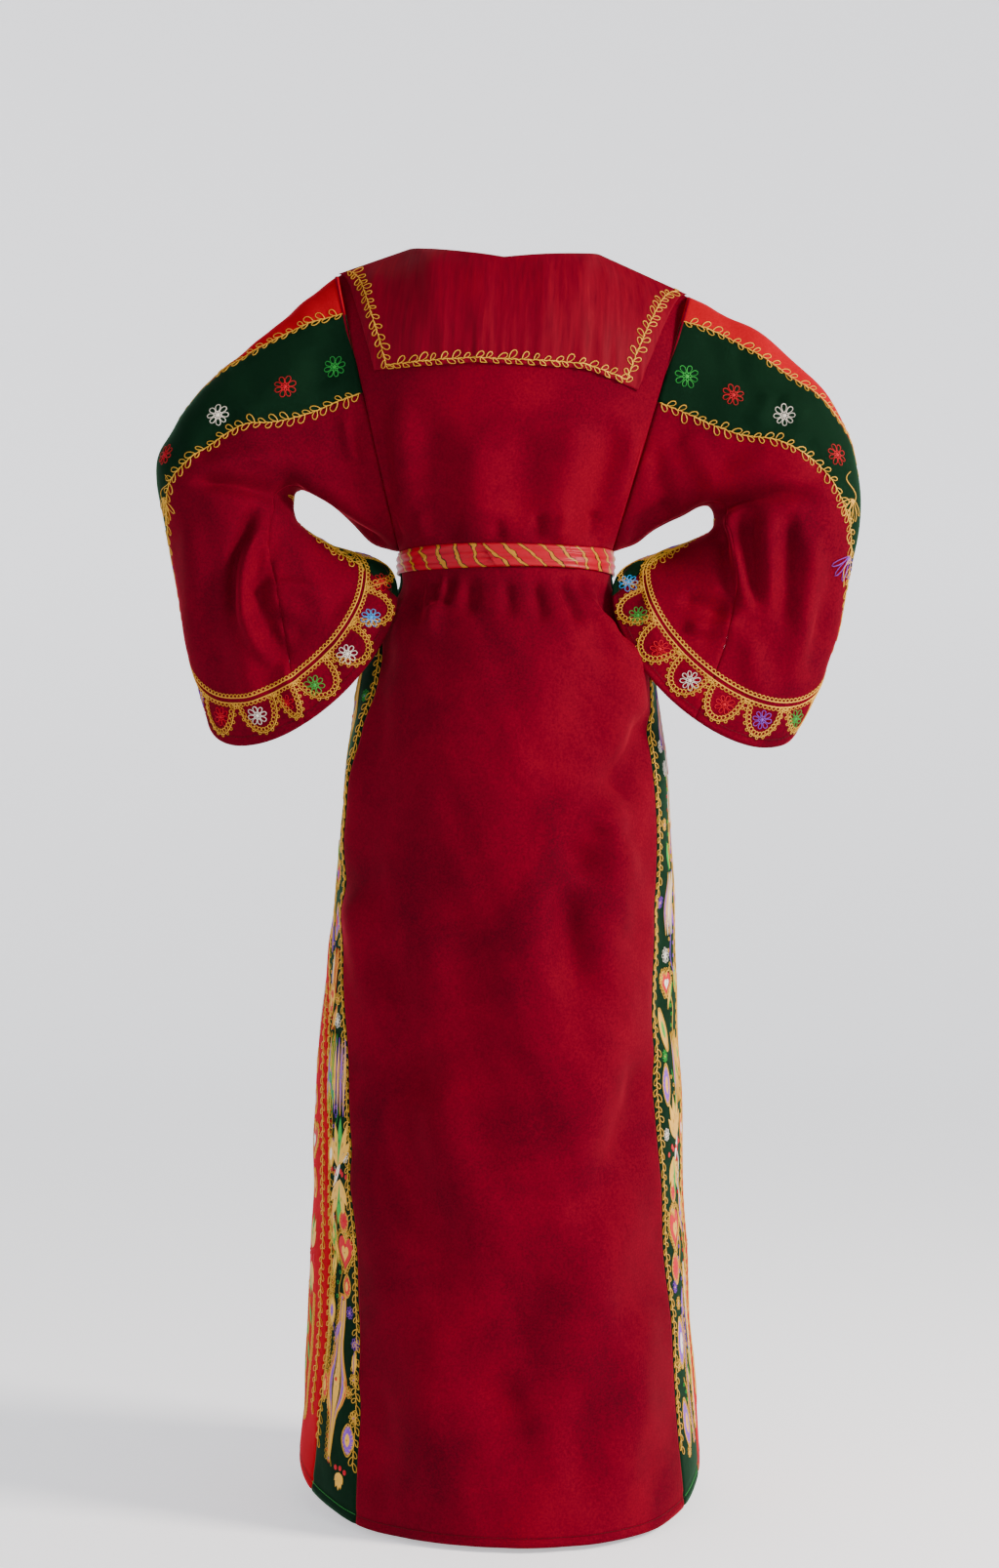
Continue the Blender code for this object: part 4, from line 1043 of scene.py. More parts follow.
def satin(name, deep, bright, roughness):
    """Satin weave: streaks of painted gloss along the cloth, a bright tone mixed into the base colour where
    the long floats of thread would catch the light, and the same streaks as soft crumples in the relief."""
    material, shader = new_material(name, deep, roughness, {
        "Sheen Weight": 0.2, "Sheen Roughness": 0.4, "Sheen Tint": linear(bright), "IOR": 1.10,
    })
    if shader is None:
        return material
    where = add_node(material, "ShaderNodeTexCoord").outputs["UV"]
    stretch = add_node(material, "ShaderNodeMapping", {"Scale": (1 / FLOAT_WIDTH, 1 / FLOAT_LENGTH, 1.0)},
                       {"Vector": where})
    painted_gloss_and_relief = noise(material, stretch.outputs["Vector"], 1.0, 3.0)
    # Painted gloss: streaks of the bright tone mixed into the base colour
    material.node_tree.links.new(mixed_colour(material, painted_gloss_and_relief, deep, bright), shader.inputs["Base Color"])
    relief(material, shader, painted_gloss_and_relief, 0.35, FLOAT_DEPTH)
    return material


def striped_satin(name):
    """Sash satin with woven gold bars edged in black: bars repeat along the sash and lean a little across
    it."""
    material, shader = new_material(name, SASH_RED, 0.34, {
        "Sheen Weight": 0.05, "Sheen Roughness": 0.4, "Sheen Tint": linear("#ff3040"), "IOR": 1.2,
    })
    if shader is None:
        return material
    where = add_node(material, "ShaderNodeTexCoord").outputs["UV"]
    apart = add_node(material, "ShaderNodeSeparateXYZ", {}, {"Vector": where})
    wobble = noise(material, where, BAR_WOBBLE_SCALE)
    lean = add_node(material, "ShaderNodeMath", {"operation": "MULTIPLY_ADD", 1: BAR_LEAN},
                    {0: apart.outputs["Y"], 2: apart.outputs["X"]})
    shifted = add_node(material, "ShaderNodeMath", {"operation": "MULTIPLY_ADD", 1: BAR_WOBBLE},
                       {0: wobble, 2: lean.outputs["Value"]})
    turns = add_node(material, "ShaderNodeMath", {"operation": "MULTIPLY", 1: 1 / BAR_PERIOD},
                     {0: shifted.outputs["Value"]})
    part = add_node(material, "ShaderNodeMath", {"operation": "FRACT"}, {0: turns.outputs["Value"]})
    ramp = add_node(material, "ShaderNodeValToRGB", {}, {"Fac": part.outputs["Value"]})
    ramp.color_ramp.interpolation = "CONSTANT"
    stops = ((0.0, SASH_RED), (0.58, SASH_BLACK), (0.63, SASH_GOLD), (0.83, SASH_BLACK), (0.88, SASH_RED))
    while len(ramp.color_ramp.elements) < len(stops):
        ramp.color_ramp.elements.new(0.5)
    for element, (position, colour) in zip(ramp.color_ramp.elements, stops):
        element.position = position
        element.color = linear(colour)
    material.node_tree.links.new(ramp.outputs["Color"], shader.inputs["Base Color"])
    return material


def thread_material(colour):
    """Thread. Gold is a metal strip wound on silk, so it is half metal and glints in points; silk is
    soft."""
    if colour == "gold":
        settings = {"Metallic": 0.30, "IOR": 1.25}
        material, shader = new_material("thread_gold", THREADS_HEX[colour], 0.5, settings)
    else:
        settings = {"IOR": 1.2}
        material, shader = new_material("thread_" + colour, THREADS_HEX[colour], 0.6, settings)
    if shader is None:
        return material
    where = add_node(material, "ShaderNodeTexCoord").outputs["Object"]
    relief(material, shader, noise(material, where, 1 / THREAD_TWIST), 0.8, THREAD_DEPTH)
    return material


def plain(name, colour, roughness, glow):
    """Even matt paper for the floor and the backdrop, lit through from behind by the glow."""
    lit = {"Emission Color": linear(colour), "Emission Strength": glow}
    material, _ = new_material(name, colour, roughness, lit)
    return material


def velvets(settings):
    """The three velvets by slot."""
    return {
        # Each velvet's two colours are the shaded and the lit tone of its painted light and shade patches
        "velvet_red": velvet("cut_velvet_dark_red", settings.deep, settings.bright, "#ff2048"),
        "velvet_bright": velvet("cut_velvet_bright_red", "#860210", "#a8061a", "#ff2848"),
        "velvet_green": velvet("cut_velvet_green", settings.green, "#0a2414", "#5f9a70"),
    }


# ---- Drawn stitches, in metres, x across and y along the cloth -------------------------------------------


def turned(flat, angle):
    """Drawing turned about its origin."""
    angle = np.asarray(angle, float)[..., None]
    x, y = flat[..., 0], flat[..., 1]
    return np.stack([x * np.cos(angle) - y * np.sin(angle), x * np.sin(angle) + y * np.cos(angle)], -1)


def oval(width, length, count=24, point=0.0):
    """Closed oval: x = width/2 sin t, y = length/2 cos t, narrowed towards its ends by the share called
    point."""
    t = np.arange(count) * 2 * np.pi / count
    return np.stack([width / 2 * np.sin(t) * (1 - point * np.cos(t) ** 2), length / 2 * np.cos(t)], -1)


def petal(length, width, count=10):
    """Closed loop from its tip at the origin out along x, widest past its middle."""
    t = np.arange(count) * 2 * np.pi / count
    along = (1 - np.cos(t)) / 2
    return np.stack([length * (1 - np.cos(t)) / 2, width / 2 * np.sin(t) * np.sqrt(along + PETAL_FOOT)], -1)


def heart(width, length, count=32):
    """Closed heart, its point towards plus y: the usual sine-cubed curve scaled to its width and length."""
    t = np.arange(count) * 2 * np.pi / count
    y = 13 * np.cos(t) - 5 * np.cos(2 * t) - 2 * np.cos(3 * t) - np.cos(4 * t)
    return np.stack([width / 2 * np.sin(t) ** 3, -length * (y + 2.5) / 29], -1)


def profile(width, length, shares, count=BOTTLE_POINTS):
    """Closed upright outline whose half width follows a short table of shares from its top to its foot."""
    y = np.linspace(-length / 2, length / 2, count)
    half = width / 2 * smooth(np.linspace(0, 1, len(shares)), np.array(shares), np.linspace(0, 1, count))
    return np.stack([np.concatenate([half, -half[::-1]]), np.concatenate([y, y[::-1]])], -1)


def even_points(line, pitch, closed=True):
    """Points at an even pitch along a drawn line, and the line's direction there."""
    if closed:
        line = np.concatenate([line, line[:1]])
    length = run_length(line)
    count = max(int(round(length[-1] / pitch)), 1)
    at = (np.arange(count) + 0.5) * length[-1] / count
    points = np.stack([np.interp(at, length, line[:, k]) for k in (0, 1)], -1)
    ahead = np.stack([np.interp(at + pitch / 4, length, line[:, k]) for k in (0, 1)], -1)
    return points, unit(ahead - points)


def edge_loops(work, spot, line, colour, offset, size, pitch, closed=True):
    """Row of small thread rings along a drawn line, each set off to the line's left by the offset."""
    points, ahead = even_points(line, pitch, closed)
    centre = points + np.stack([ahead[:, 1], -ahead[:, 0]], -1) * offset
    ring = size / 2 * np.stack([np.cos(RING_TURN), np.sin(RING_TURN)], -1)
    work.cord(spot, centre[:, None] + ring, FINE_CORD, colour)


def flower(work, spot, size, colour, petals=8, middle=None):
    """Round flower of looped petals with a ring of smaller loops and a knot in its middle."""
    angle = np.arange(petals) * 2 * np.pi / petals
    jitter = np.random.default_rng(petals + int(size / MM)).uniform(*PETAL_UNEVEN, petals)[:, None, None]
    outer = petal(OUTER_PETAL.length * size, OUTER_PETAL.width * size) * jitter
    outer = outer + np.array([OUTER_PETAL.start * size, 0])
    work.cord(spot, turned(outer, angle), FINE_CORD, colour)
    inner = petal(INNER_PETAL.length * size, INNER_PETAL.width * size)
    inner = inner + np.array([INNER_PETAL.start * size, 0])
    work.cord(spot, turned(inner, angle + np.pi / petals), FINE_CORD, colour)
    work.pad(spot, oval(FLOWER_KNOT * size, FLOWER_KNOT * size, 10), KNOT_DOME, middle or colour)


def framed(work, spot, outline, motif, core=True):
    """Filled shape with a gold cord and a row of gold loops round it, and a core of a second thread."""
    work.pad(spot, outline * PAD_SHARE, PAD_DOME, motif.colour)
    if core:
        work.pad(spot, outline * CORE_SHARE, LEAF_DOME, motif.second, lift=LEAF_DOME)
        work.cord(spot, outline * CORE_CORD_SHARE, FINE_CORD, "gold")
    work.cord(spot, outline, CORD, "gold")
    edge_loops(work, spot, outline, "gold", LOOP / 2 + CORD / 2, LOOP, LOOP_PITCH)


def sew_oval(work, spot, motif):
    framed(work, spot, oval(motif.width, motif.length, 28, 0.35), motif)


def sew_heart(work, spot, motif):
    framed(work, spot, heart(motif.width, motif.length), motif)


def sew_flower(work, spot, motif):
    flower(work, spot, motif.width, motif.colour, middle=motif.second)


def sew_leaf(work, spot, motif):
    """Filled leaf with a vein along it."""
    work.pad(spot, oval(motif.width, motif.length, 20, 0.8), LEAF_DOME, motif.colour)
    vein = np.stack([np.zeros(len(VEIN)), VEIN * motif.length], -1)
    work.cord(spot, vein[None], CORD, motif.second, closed=False, lift=VEIN_LIFT)


def sew_fan(work, spot, motif):
    """Bunch of leaves spread from one foot, upwards and outwards."""
    for angle, share in FAN_LEAVES:
        leaf = oval(motif.width * FAN_LEAF_WIDTH, motif.length * share, 18, 0.85)
        leaf = leaf - np.array([0, motif.length * share / 2])
        colour = motif.colour if abs(angle) > FAN_MIDDLE else motif.second
        work.pad(spot, turned(leaf, angle), LEAF_DOME, colour)
    for knot in np.array(FAN_KNOTS) * motif.width:
        work.pad(spot, oval(SMALL_KNOT, SMALL_KNOT, 10) + knot, 1.0, "red")


def sew_bottle(work, spot, motif):
    """Tall stem-footed drop in nested stripes, with a flower on its belly and loops down one side."""
    nested = ((1.0, "red"), (0.86, "gold"), (0.74, motif.colour), (0.48, "dark"), (0.30, motif.second))
    for scale, colour in nested:
        outline = profile(motif.width * scale, motif.length * (0.9 + 0.1 * scale), BOTTLE_HALVES)
        work.pad(spot, outline, BOTTLE_DOME, colour, lift=0.4 + 0.35 * (1 - scale))
        work.cord(spot, outline, FINE_CORD, "gold", lift=1.2)
    outline = profile(motif.width, motif.length, BOTTLE_HALVES)
    side = outline[:BOTTLE_POINTS]
    edge_loops(work, spot, side, "gold", LOOP * 0.9, LOOP * 1.2, LOOP_PITCH * 1.2, closed=False)
    work.pad(spot, oval(LARGE_KNOT, LARGE_KNOT, 12), 1.2, "gold", lift=1.0)
    work.pad(spot, oval(SMALL_KNOT, SMALL_KNOT, 10), 1.6, "red", lift=1.6)


def sew_arch(work, spot, motif):
    """Open arch of two gold loop rows with a sprig of green and gold leaves inside."""
    t = np.linspace(-0.5, 0.5, 26) * np.pi
    arch = np.stack([motif.width / 2 * np.sin(t), motif.length * (0.5 - np.cos(t) ** ARCH_CURVE)], -1)
    work.cord(spot, arch[None], CORD, "gold", closed=False)
    for offset in (-1, 1):
        edge_loops(work, spot, arch, "gold", offset * LOOP * 0.8, LOOP, LOOP_PITCH, closed=False)
    for y, side in ARCH_LEAVES:
        place = np.array([side * ARCH_LEAF_ASIDE, y * motif.length])
        leaf = turned(oval(*ARCH_LEAF), side * ARCH_LEAF_LEAN) + place
        work.pad(spot, leaf, PAD_DOME, motif.colour)
    stem = np.stack([np.zeros(len(ARCH_STEM)), ARCH_STEM * motif.length], -1)
    work.cord(spot, stem[None], CORD, "gold", closed=False)


def sew_stem(work, spot, motif):
    """Wavy stem with small knots beside it."""
    y = np.linspace(-0.5, 0.5, 24)
    stem = np.stack([motif.width / 2 * np.sin(y * STEM_WAVES), y * motif.length], -1)
    work.cord(spot, stem[None], CORD, motif.colour, closed=False)
    edge_loops(work, spot, stem, motif.second, LOOP, LOOP * 0.9, LOOP_PITCH * 2.5, closed=False)


def sew_stripes(work, spot, motif):
    """Side-by-side slender leaves in three threads."""
    for share, colour in zip(STRIPE_PLACES, ("gold", motif.colour, "gold", motif.second)):
        leaf = oval(motif.width * STRIPE_WIDTH, motif.length, 20, 0.6) + np.array([share * motif.width, 0])
        work.pad(spot, leaf, PAD_DOME, colour)
        work.cord(spot, leaf, FINE_CORD, "gold" if colour != "gold" else motif.colour, lift=1.0)


def sew_loops(work, spot, motif):
    """Two rows of loops along a straight line."""
    line = np.stack([np.zeros(12), np.linspace(-0.5, 0.5, 12) * motif.length], -1)
    for offset in (-1, 1):
        edge_loops(work, spot, line, motif.colour, offset * motif.width / 4, LOOP, LOOP_PITCH, closed=False)
    work.cord(spot, line[None], CORD, motif.second, closed=False)


def sew_scroll(work, spot, motif):
    """S-shaped scroll of cord with a bunch of open petals at its foot."""
    t = np.linspace(0, 1, 40)
    turn = SCROLL_TURN * np.pi * t
    curl = np.stack([motif.width / 2 * (1 - SCROLL_NARROWS * t) * np.sin(turn), motif.length * (t - 0.5)], -1)
    work.cord(spot, curl[None], CORD, motif.colour, closed=False)
    angles = np.array(SCROLL_PETALS) + np.pi / 2
    petals = turned(petal(motif.length * SCROLL_PETAL[0], motif.width * SCROLL_PETAL[1]), angles)
    work.cord(spot, petals, CORD, motif.second)


STITCHED = {"oval": sew_oval, "heart": sew_heart, "flower": sew_flower, "leaf": sew_leaf, "fan": sew_fan,
            "bottle": sew_bottle, "arch": sew_arch, "stem": sew_stem, "stripes": sew_stripes,
            "loops": sew_loops, "scroll": sew_scroll}


def even_spots(cloth, rows, columns, pitch):
    """Spots at an even pitch along a path over the cloth, each headed along it, and the path's length."""
    points = lay_on(cloth.points, rows, columns)
    length = run_length(points)
    at = np.arange(pitch / 2, length[-1], pitch)
    read = [[np.interp(at + step, length, values) for values in (rows, columns)] for step in (-MM, 0, MM)]
    ahead = lay_on(cloth.points, *read[2]) - lay_on(cloth.points, *read[0])
    row, place = read[1]
    _, _, across, along = cloth_steps(Spot(cloth, row, place, 0))
    heading = np.arctan2((ahead * along).sum(-1), (ahead * across).sum(-1))
    return Spot(cloth, row[:, None], place[:, None], heading[:, None])


def braid(work, cloth, rows, columns, seed, colour="gold"):
    """Couched loop braid along a path: pairs of loops that lean forward on both sides of a wavy cord,
    uneven in length and lean as hand work is."""
    random = np.random.default_rng(seed)
    spot = even_spots(cloth, rows, columns, BRAID_PITCH)
    count = len(spot.row)
    for side in (-1, 1):
        scale = random.uniform(*BRAID_UNEVEN, count)[:, None, None]
        lean = side * random.uniform(*BRAID_LEAN, count)
        start = np.stack([random.uniform(-1, 1, count) * MM + side * BRAID_PITCH / 4, np.zeros(count)], -1)
        loops = turned(petal(BRAID_LOOP, BRAID_LOOP * BRAID_LOOP_WIDTH) * scale, lean) + start[:, None]
        work.cord(spot, loops, CORD, colour)
    wave = even_spots(cloth, rows, columns, BRAID_PITCH / 5)
    flat = np.zeros((len(wave.row), 1, 2))
    flat[:, 0, 1] = np.sin(np.arange(len(flat)) * BRAID_WAVE) * MM * 0.5
    centre, normal = stamp(wave, flat)
    work.tube(centre[:, 0][None], normal[:, 0][None], CORD, colour, False, CORD_LIFT, BRAID_SIDES)


def scallop(work, spot, width, colour):
    """One arch hanging from the cuff's straight row: a cord with loops on both sides, and a flower
    inside."""
    t = np.linspace(-0.5, 0.5, 22) * np.pi
    arch = np.stack([width * SCALLOP_WIDTH * np.sin(t), SCALLOP_DEPTH * np.cos(t) ** SCALLOP_CURVE], -1)
    work.cord(spot, arch[None], CORD, "gold", closed=False)
    edge_loops(work, spot, arch, "gold", LOOP * 0.75, LOOP, LOOP_PITCH, closed=False)
    edge_loops(work, spot, arch * 0.97, "gold", -LOOP * 0.5, LOOP * 0.7, LOOP_PITCH * 1.3, closed=False)
    cloth, row, place, heading = spot
    _, per_row, _, along = cloth_steps(spot)
    row = row + SCALLOP_MIDDLE * SCALLOP_DEPTH / float(row_step(per_row, along))
    size = min(width, SCALLOP_DEPTH) * SCALLOP_FLOWER
    inside = Spot(cloth, row, place, heading)
    if colour == "narrow":
        flower(work, inside, size, "red", petals=6)
    else:
        flower(work, inside, size, colour)


def stitches(work, cloth, rows, columns, colour):
    """Row of short straight stitches at an even pitch along a path."""
    spots = even_spots(cloth, rows, columns, STITCH_PITCH)
    flat = np.zeros((len(spots.row), 3, 2))
    flat[:, :, 0] = np.array([-STITCH, 0, STITCH])
    work.cord(spots, flat, STITCH_CORD, colour, closed=False, lift=STITCH_LIFT)


@functools.lru_cache(maxsize=None)
def sleeve_cloth(word):
    """Sleeve to lay threads on: its ring of columns twice round, so that a path may cross the last column.
    Returns the cloth, the columns in one turn, and the column at which each strip starts."""
    points, normals, spans = sleeve_ring(word, even=True)
    turn = points.shape[1] - 1
    twice = [np.concatenate([grid[:, :-1], grid], axis=1) for grid in (points, normals)]
    return Cloth(*twice), turn, {name: span[0] for name, span in spans.items()}


@functools.lru_cache(maxsize=None)
def body_cloth():
    """Panels of the body, with even columns, to lay threads on."""
    counts = [np.linspace(0, 1, n) for n in (BACK_COLUMNS, STRIP_COLUMNS, FRONT_COLUMNS, STRIP_COLUMNS)]
    ring, normals, spans = skirt_ring(counts)
    cloths = {}
    for name, share in zip(PANELS, counts):
        start, end = spans[name]
        if name in ("back_panel", "front_panel"):
            cloths[name] = Cloth(*body_panel(ring, normals, spans, name, share))
        else:
            cloths[name] = Cloth(ring[:, start:end + 1], normals[:, start:end + 1])
    return cloths


def rows_at(cloth, distance):
    """Decimal row of each column at a length of cloth from the last row."""
    step = np.linalg.norm(np.diff(cloth.points, axis=0), axis=-1)
    total = np.concatenate([np.cumsum(step[::-1], axis=0)[::-1], np.zeros((1, step.shape[1]))])
    numbers = np.arange(len(total), dtype=float)
    return np.array([np.interp(-distance, -total[:, j], numbers) for j in range(total.shape[1])])


def spot_at(cloth, x, z, heading=0.0):
    """Spot on the cloth where it faces back and lies nearest to (x, z)."""
    away = np.hypot(cloth.points[..., 0] - x, cloth.points[..., 2] - z)
    away = np.where(cloth.normals[..., 1] > FACING_BACK, away, np.inf)
    row, place = np.unravel_index(np.argmin(away), away.shape)
    return Spot(cloth, float(row), float(place), heading)


def strip_spot(cloth, height, share, heading=0.0, flip=False):
    """Spot at a height above the hem, along the cloth, and a share across: -1 at the back seam, 1 at the
    front."""
    row = rows_at(cloth, height)
    columns = cloth.points.shape[1] - 1
    place = (1 - share if flip else 1 + share) / 2 * columns
    return Spot(cloth, float(np.interp(place, np.arange(columns + 1), row)), place, heading)


def rail(work, cloth, share, heights, flip, seed):
    """Braid down a panel at one share across it, between two heights above the hem."""
    ends = [strip_spot(cloth, height, share, flip=flip) for height in heights]
    rows = np.linspace(ends[0].row, ends[1].row, RAIL_POINTS)
    braid(work, cloth, rows, np.full(RAIL_POINTS, ends[0].column), seed)


def yoke_grid(lift):
    """Yoke flap lying on the back: columns between its two side edges, rows from the shoulder line to its
    hem, lifted off the back, with upright folds and a puckered lower edge."""
    across = np.linspace(0, 1, YOKE_COLUMNS)[None, :]
    down = np.linspace(0, 1, YOKE_ROWS)[:, None]
    left = YOKE_LEFT_SHARE[0] + (YOKE_LEFT_SHARE[1] - YOKE_LEFT_SHARE[0]) * down
    right = YOKE_RIGHT_SHARE[0] + (YOKE_RIGHT_SHARE[1] - YOKE_RIGHT_SHARE[0]) * down
    share = -right + (left + right) * across
    rows = np.linspace(0, YOKE_SEARCH_ROWS, YOKE_SEARCH)[:, None]
    line = torso_at(1, rows, share[-1:])
    hem = np.interp(line[-1, :, 0], YOKE_HEM_X, YOKE_HEM_Z)
    last = np.array([np.interp(-hem[j], -line[:, j, 2], rows[:, 0]) for j in range(YOKE_COLUMNS)])
    points = torso_at(1, last[None, :] * down, share)
    normals = grid_normals(points)
    x = points[..., 0]
    turns = x / PUCKER_PITCH + PUCKER_SHIFT * np.sin(x * PUCKER_TURNS)
    pucker = YOKE_PUCKER * ease((down - PUCKER_FROM) / (1 - PUCKER_FROM)) * np.sin(2 * np.pi * turns)
    upright = ripple(x, points[..., 2], YOKE_WAVES) * ease(down / FOLDS_FULL)
    return points + normals * (lift + np.maximum(pucker + upright, YOKE_FLOOR))[..., None]


def make_sash_ring(angle, height_share, lift):
    """Sash surface: the waist section moved out, with pleats that run slowly across it as it goes round."""
    base = skirt_at(SASH_LEVEL, angle)
    out = base / np.array(SASH_OVAL) ** 2
    out[..., 2] = 0
    out = unit(out)
    turn = np.radians(angle)
    pleats = np.zeros(np.broadcast(angle, height_share).shape)
    for pleat in SASH_PLEATS:
        across = 2 * np.pi * (pleat.across * height_share)
        pleats = pleats + pleat.height * np.sin(across + pleat.round * turn + pleat.phase)
    round_edge = -SASH_ROUNDING * (2 * np.abs(height_share)) ** SASH_EDGE_CURVE
    points = base + out * (lift + pleats + round_edge + SASH_PLEAT_ROOM)[..., None]
    drop = SASH_FRONT_DROP * (1 - np.maximum(np.cos(turn), 0))
    waver = 1 + SASH_WAVER * np.sin(SASH_WAVES * turn)
    points[..., 2] = SASH_MIDDLE_Z - drop + SASH_HEIGHT * height_share * waver
    return points


# ---- Settings, operators and panel -----------------------------------------------------------------------


class ThobeClothSettings(bpy.types.PropertyGroup):
    velvet: bpy.props.FloatProperty(name="Velvet thickness", description="Thickness of the velvet shells",
                                    default=VELVET, min=0.0005, unit="LENGTH")
    # Dark red and Bright red are the shaded and the lit tone of the painted light patches on the back's velvet
    deep: bpy.props.StringProperty(name="Dark red", description="Hex colour of the back's velvet",
                                   default="#3a020e")
    bright: bpy.props.StringProperty(name="Bright red", description="Hex colour of the lit pile",
                                     default="#8a061e")
    green: bpy.props.StringProperty(name="Green", description="Hex colour of the green velvet",
                                    default="#05170c")


class ThobeStageSettings(bpy.types.PropertyGroup):
    key: bpy.props.FloatProperty(name="Key light", description="Power of the large light on the right",
                                 default=270.0, min=0.0, unit="POWER")
    fill: bpy.props.FloatProperty(name="Fill light", description="Power of the large light on the left",
                                  default=9.0, min=0.0, unit="POWER")
    paper: bpy.props.FloatProperty(name="Paper glow", description="Light through the backdrop's paper",
                                   default=0.62, min=0.0)
    sky: bpy.props.FloatProperty(name="Sky", description="Strength of the even light from all round",
                                 default=0.10, min=0.0)


class THOBE_OT_body(bpy.types.Operator):
    """Builds the back and front panels and the two green side strips"""

    bl_idname = "thobe.body"
    bl_label = "Body panels"

    def execute(self, context):
        settings = context.scene.thobe_cloth
        looks = velvets(settings)
        shares = [spread(n, WIDE_SEAM_SHARE if n > STRIP_COLUMNS else SEAM_SHARE)
                  for n in (BACK_COLUMNS, STRIP_COLUMNS, FRONT_COLUMNS, STRIP_COLUMNS)]
        ring, ring_normals, spans = skirt_ring(shares)
        for name, share in zip(PANELS, shares):
            start, end = spans[name]
            if name in ("back_panel", "front_panel"):
                points, normals = body_panel(ring, ring_normals, spans, name, share)
            else:
                points, normals = ring[:, start:end + 1], ring_normals[:, start:end + 1]
            points = sewn(points.copy(), normals, bottom=True)
            slot = PANEL_SLOTS[name]
            thing = make_shell(name + "_cloth", points, normals, settings.velvet, looks[slot])
            finish_cloth(thing, name)
        return {"FINISHED"}


class THOBE_OT_sleeves(bpy.types.Operator):
    """Builds the five strips of both sleeves"""

    bl_idname = "thobe.sleeves"
    bl_label = "Sleeves"

    def execute(self, context):
        settings = context.scene.thobe_cloth
        looks = velvets(settings)
        for word in SLEEVES:
            ring, normals, spans = sleeve_ring(word, even=False)
            for strip in STRIPS:
                start, end = spans[strip.name]
                points = sewn(ring[:, start:end + 1].copy(), normals[:, start:end + 1], top=True, bottom=True)
                node = f"sleeve_{word}_{strip.name}"
                thing = make_shell(node + "_cloth", points, normals[:, start:end + 1], settings.velvet,
                                   looks[strip.slot], -SIDES[word])
                finish_cloth(thing, node)
        return {"FINISHED"}


class THOBE_OT_yoke(bpy.types.Operator):
    """Builds the square satin flap on the back"""

    bl_idname = "thobe.yoke"
    bl_label = "Yoke flap"

    def execute(self, context):
        points = yoke_grid(YOKE_LIFT + YOKE_CLOTH)
        # 700618 is the tone of the yoke's painted gloss streaks
        look = satin("satin_dark_red", "#440210", "#700618", 0.62)
        thing = make_shell("yoke_flap_cloth", points, grid_normals(points), YOKE_CLOTH, look)
        finish_cloth(thing, "yoke_flap")
        return {"FINISHED"}


class THOBE_OT_sash(bpy.types.Operator):
    """Builds the sash round the waist and the end that laps over it behind"""

    bl_idname = "thobe.sash"
    bl_label = "Sash"

    def execute(self, context):
        look = striped_satin("sash_satin")
        share = np.linspace(0.5, -0.5, SASH_ROWS)[:, None]
        for node, angle, lift, closed in (
            ("sash", np.linspace(SASH_START, SASH_START + 360, SASH_COLUMNS)[None, :], SASH_LIFT, True),
            ("sash_end", np.linspace(*SASH_END, SASH_END_COLUMNS)[None, :], SASH_LIFT + SASH_CLOTH, False),
        ):
            points = make_sash_ring(angle + SASH_END_LEAN * share * (not closed), share, lift)
            normals = grid_normals(points, closed)
            thing = make_shell(node + "_cloth", points, normals, SASH_CLOTH, look, closed=closed)
            finish_cloth(thing, node)
        return {"FINISHED"}


class THOBE_OT_braids(bpy.types.Operator):
    """Couches the gold loop braid on the yoke's free edges and on the sleeves' strip seams"""

    bl_idname = "thobe.braids"
    bl_label = "Loop braids"

    def execute(self, context):
        points = yoke_grid(YOKE_LIFT + YOKE_CLOTH)
        cloth = Cloth(points, grid_normals(points))
        inset = BRAID_INSET / np.linalg.norm(points[0, 1] - points[0, 0])
        low = BRAID_INSET / np.linalg.norm(points[-1, 0] - points[-2, 0])
        right, foot = YOKE_COLUMNS - 1 - inset, YOKE_ROWS - 1 - low
        down = np.linspace(BRAID_FROM_ROW, foot, YOKE_SIDE_POINTS)
        rows = np.concatenate([down, np.full(YOKE_HEM_POINTS, foot),
                               np.linspace(foot, BRAID_FROM_ROW, YOKE_SIDE_POINTS)])
        columns = np.concatenate([np.full(YOKE_SIDE_POINTS, right),
                                  np.linspace(right, inset, YOKE_HEM_POINTS),
                                  np.full(YOKE_SIDE_POINTS, inset)])
        work = Stitching()
        braid(work, cloth, rows, columns, 3)
        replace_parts(work.build("yoke_braid_threads"), "yoke_braid")
        for word in SLEEVES:
            cloth, turn, starts = sleeve_cloth(word)
            stop = rows_at(cloth, CUFF_TOP + LOOP)
            for number, (node, strip) in enumerate(SLEEVE_BRAIDS.items()):
                column = starts[strip] + turn
                rows = np.linspace(SLEEVE_BRAID_FROM_ROW, stop[column], PATH_POINTS)
                work = Stitching()
                braid(work, cloth, rows, np.full(PATH_POINTS, float(column)), number + 10 * turn)
                name = f"braid_{word}_{node}"
                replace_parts(work.build(name + "_threads"), name)
        return {"FINISHED"}


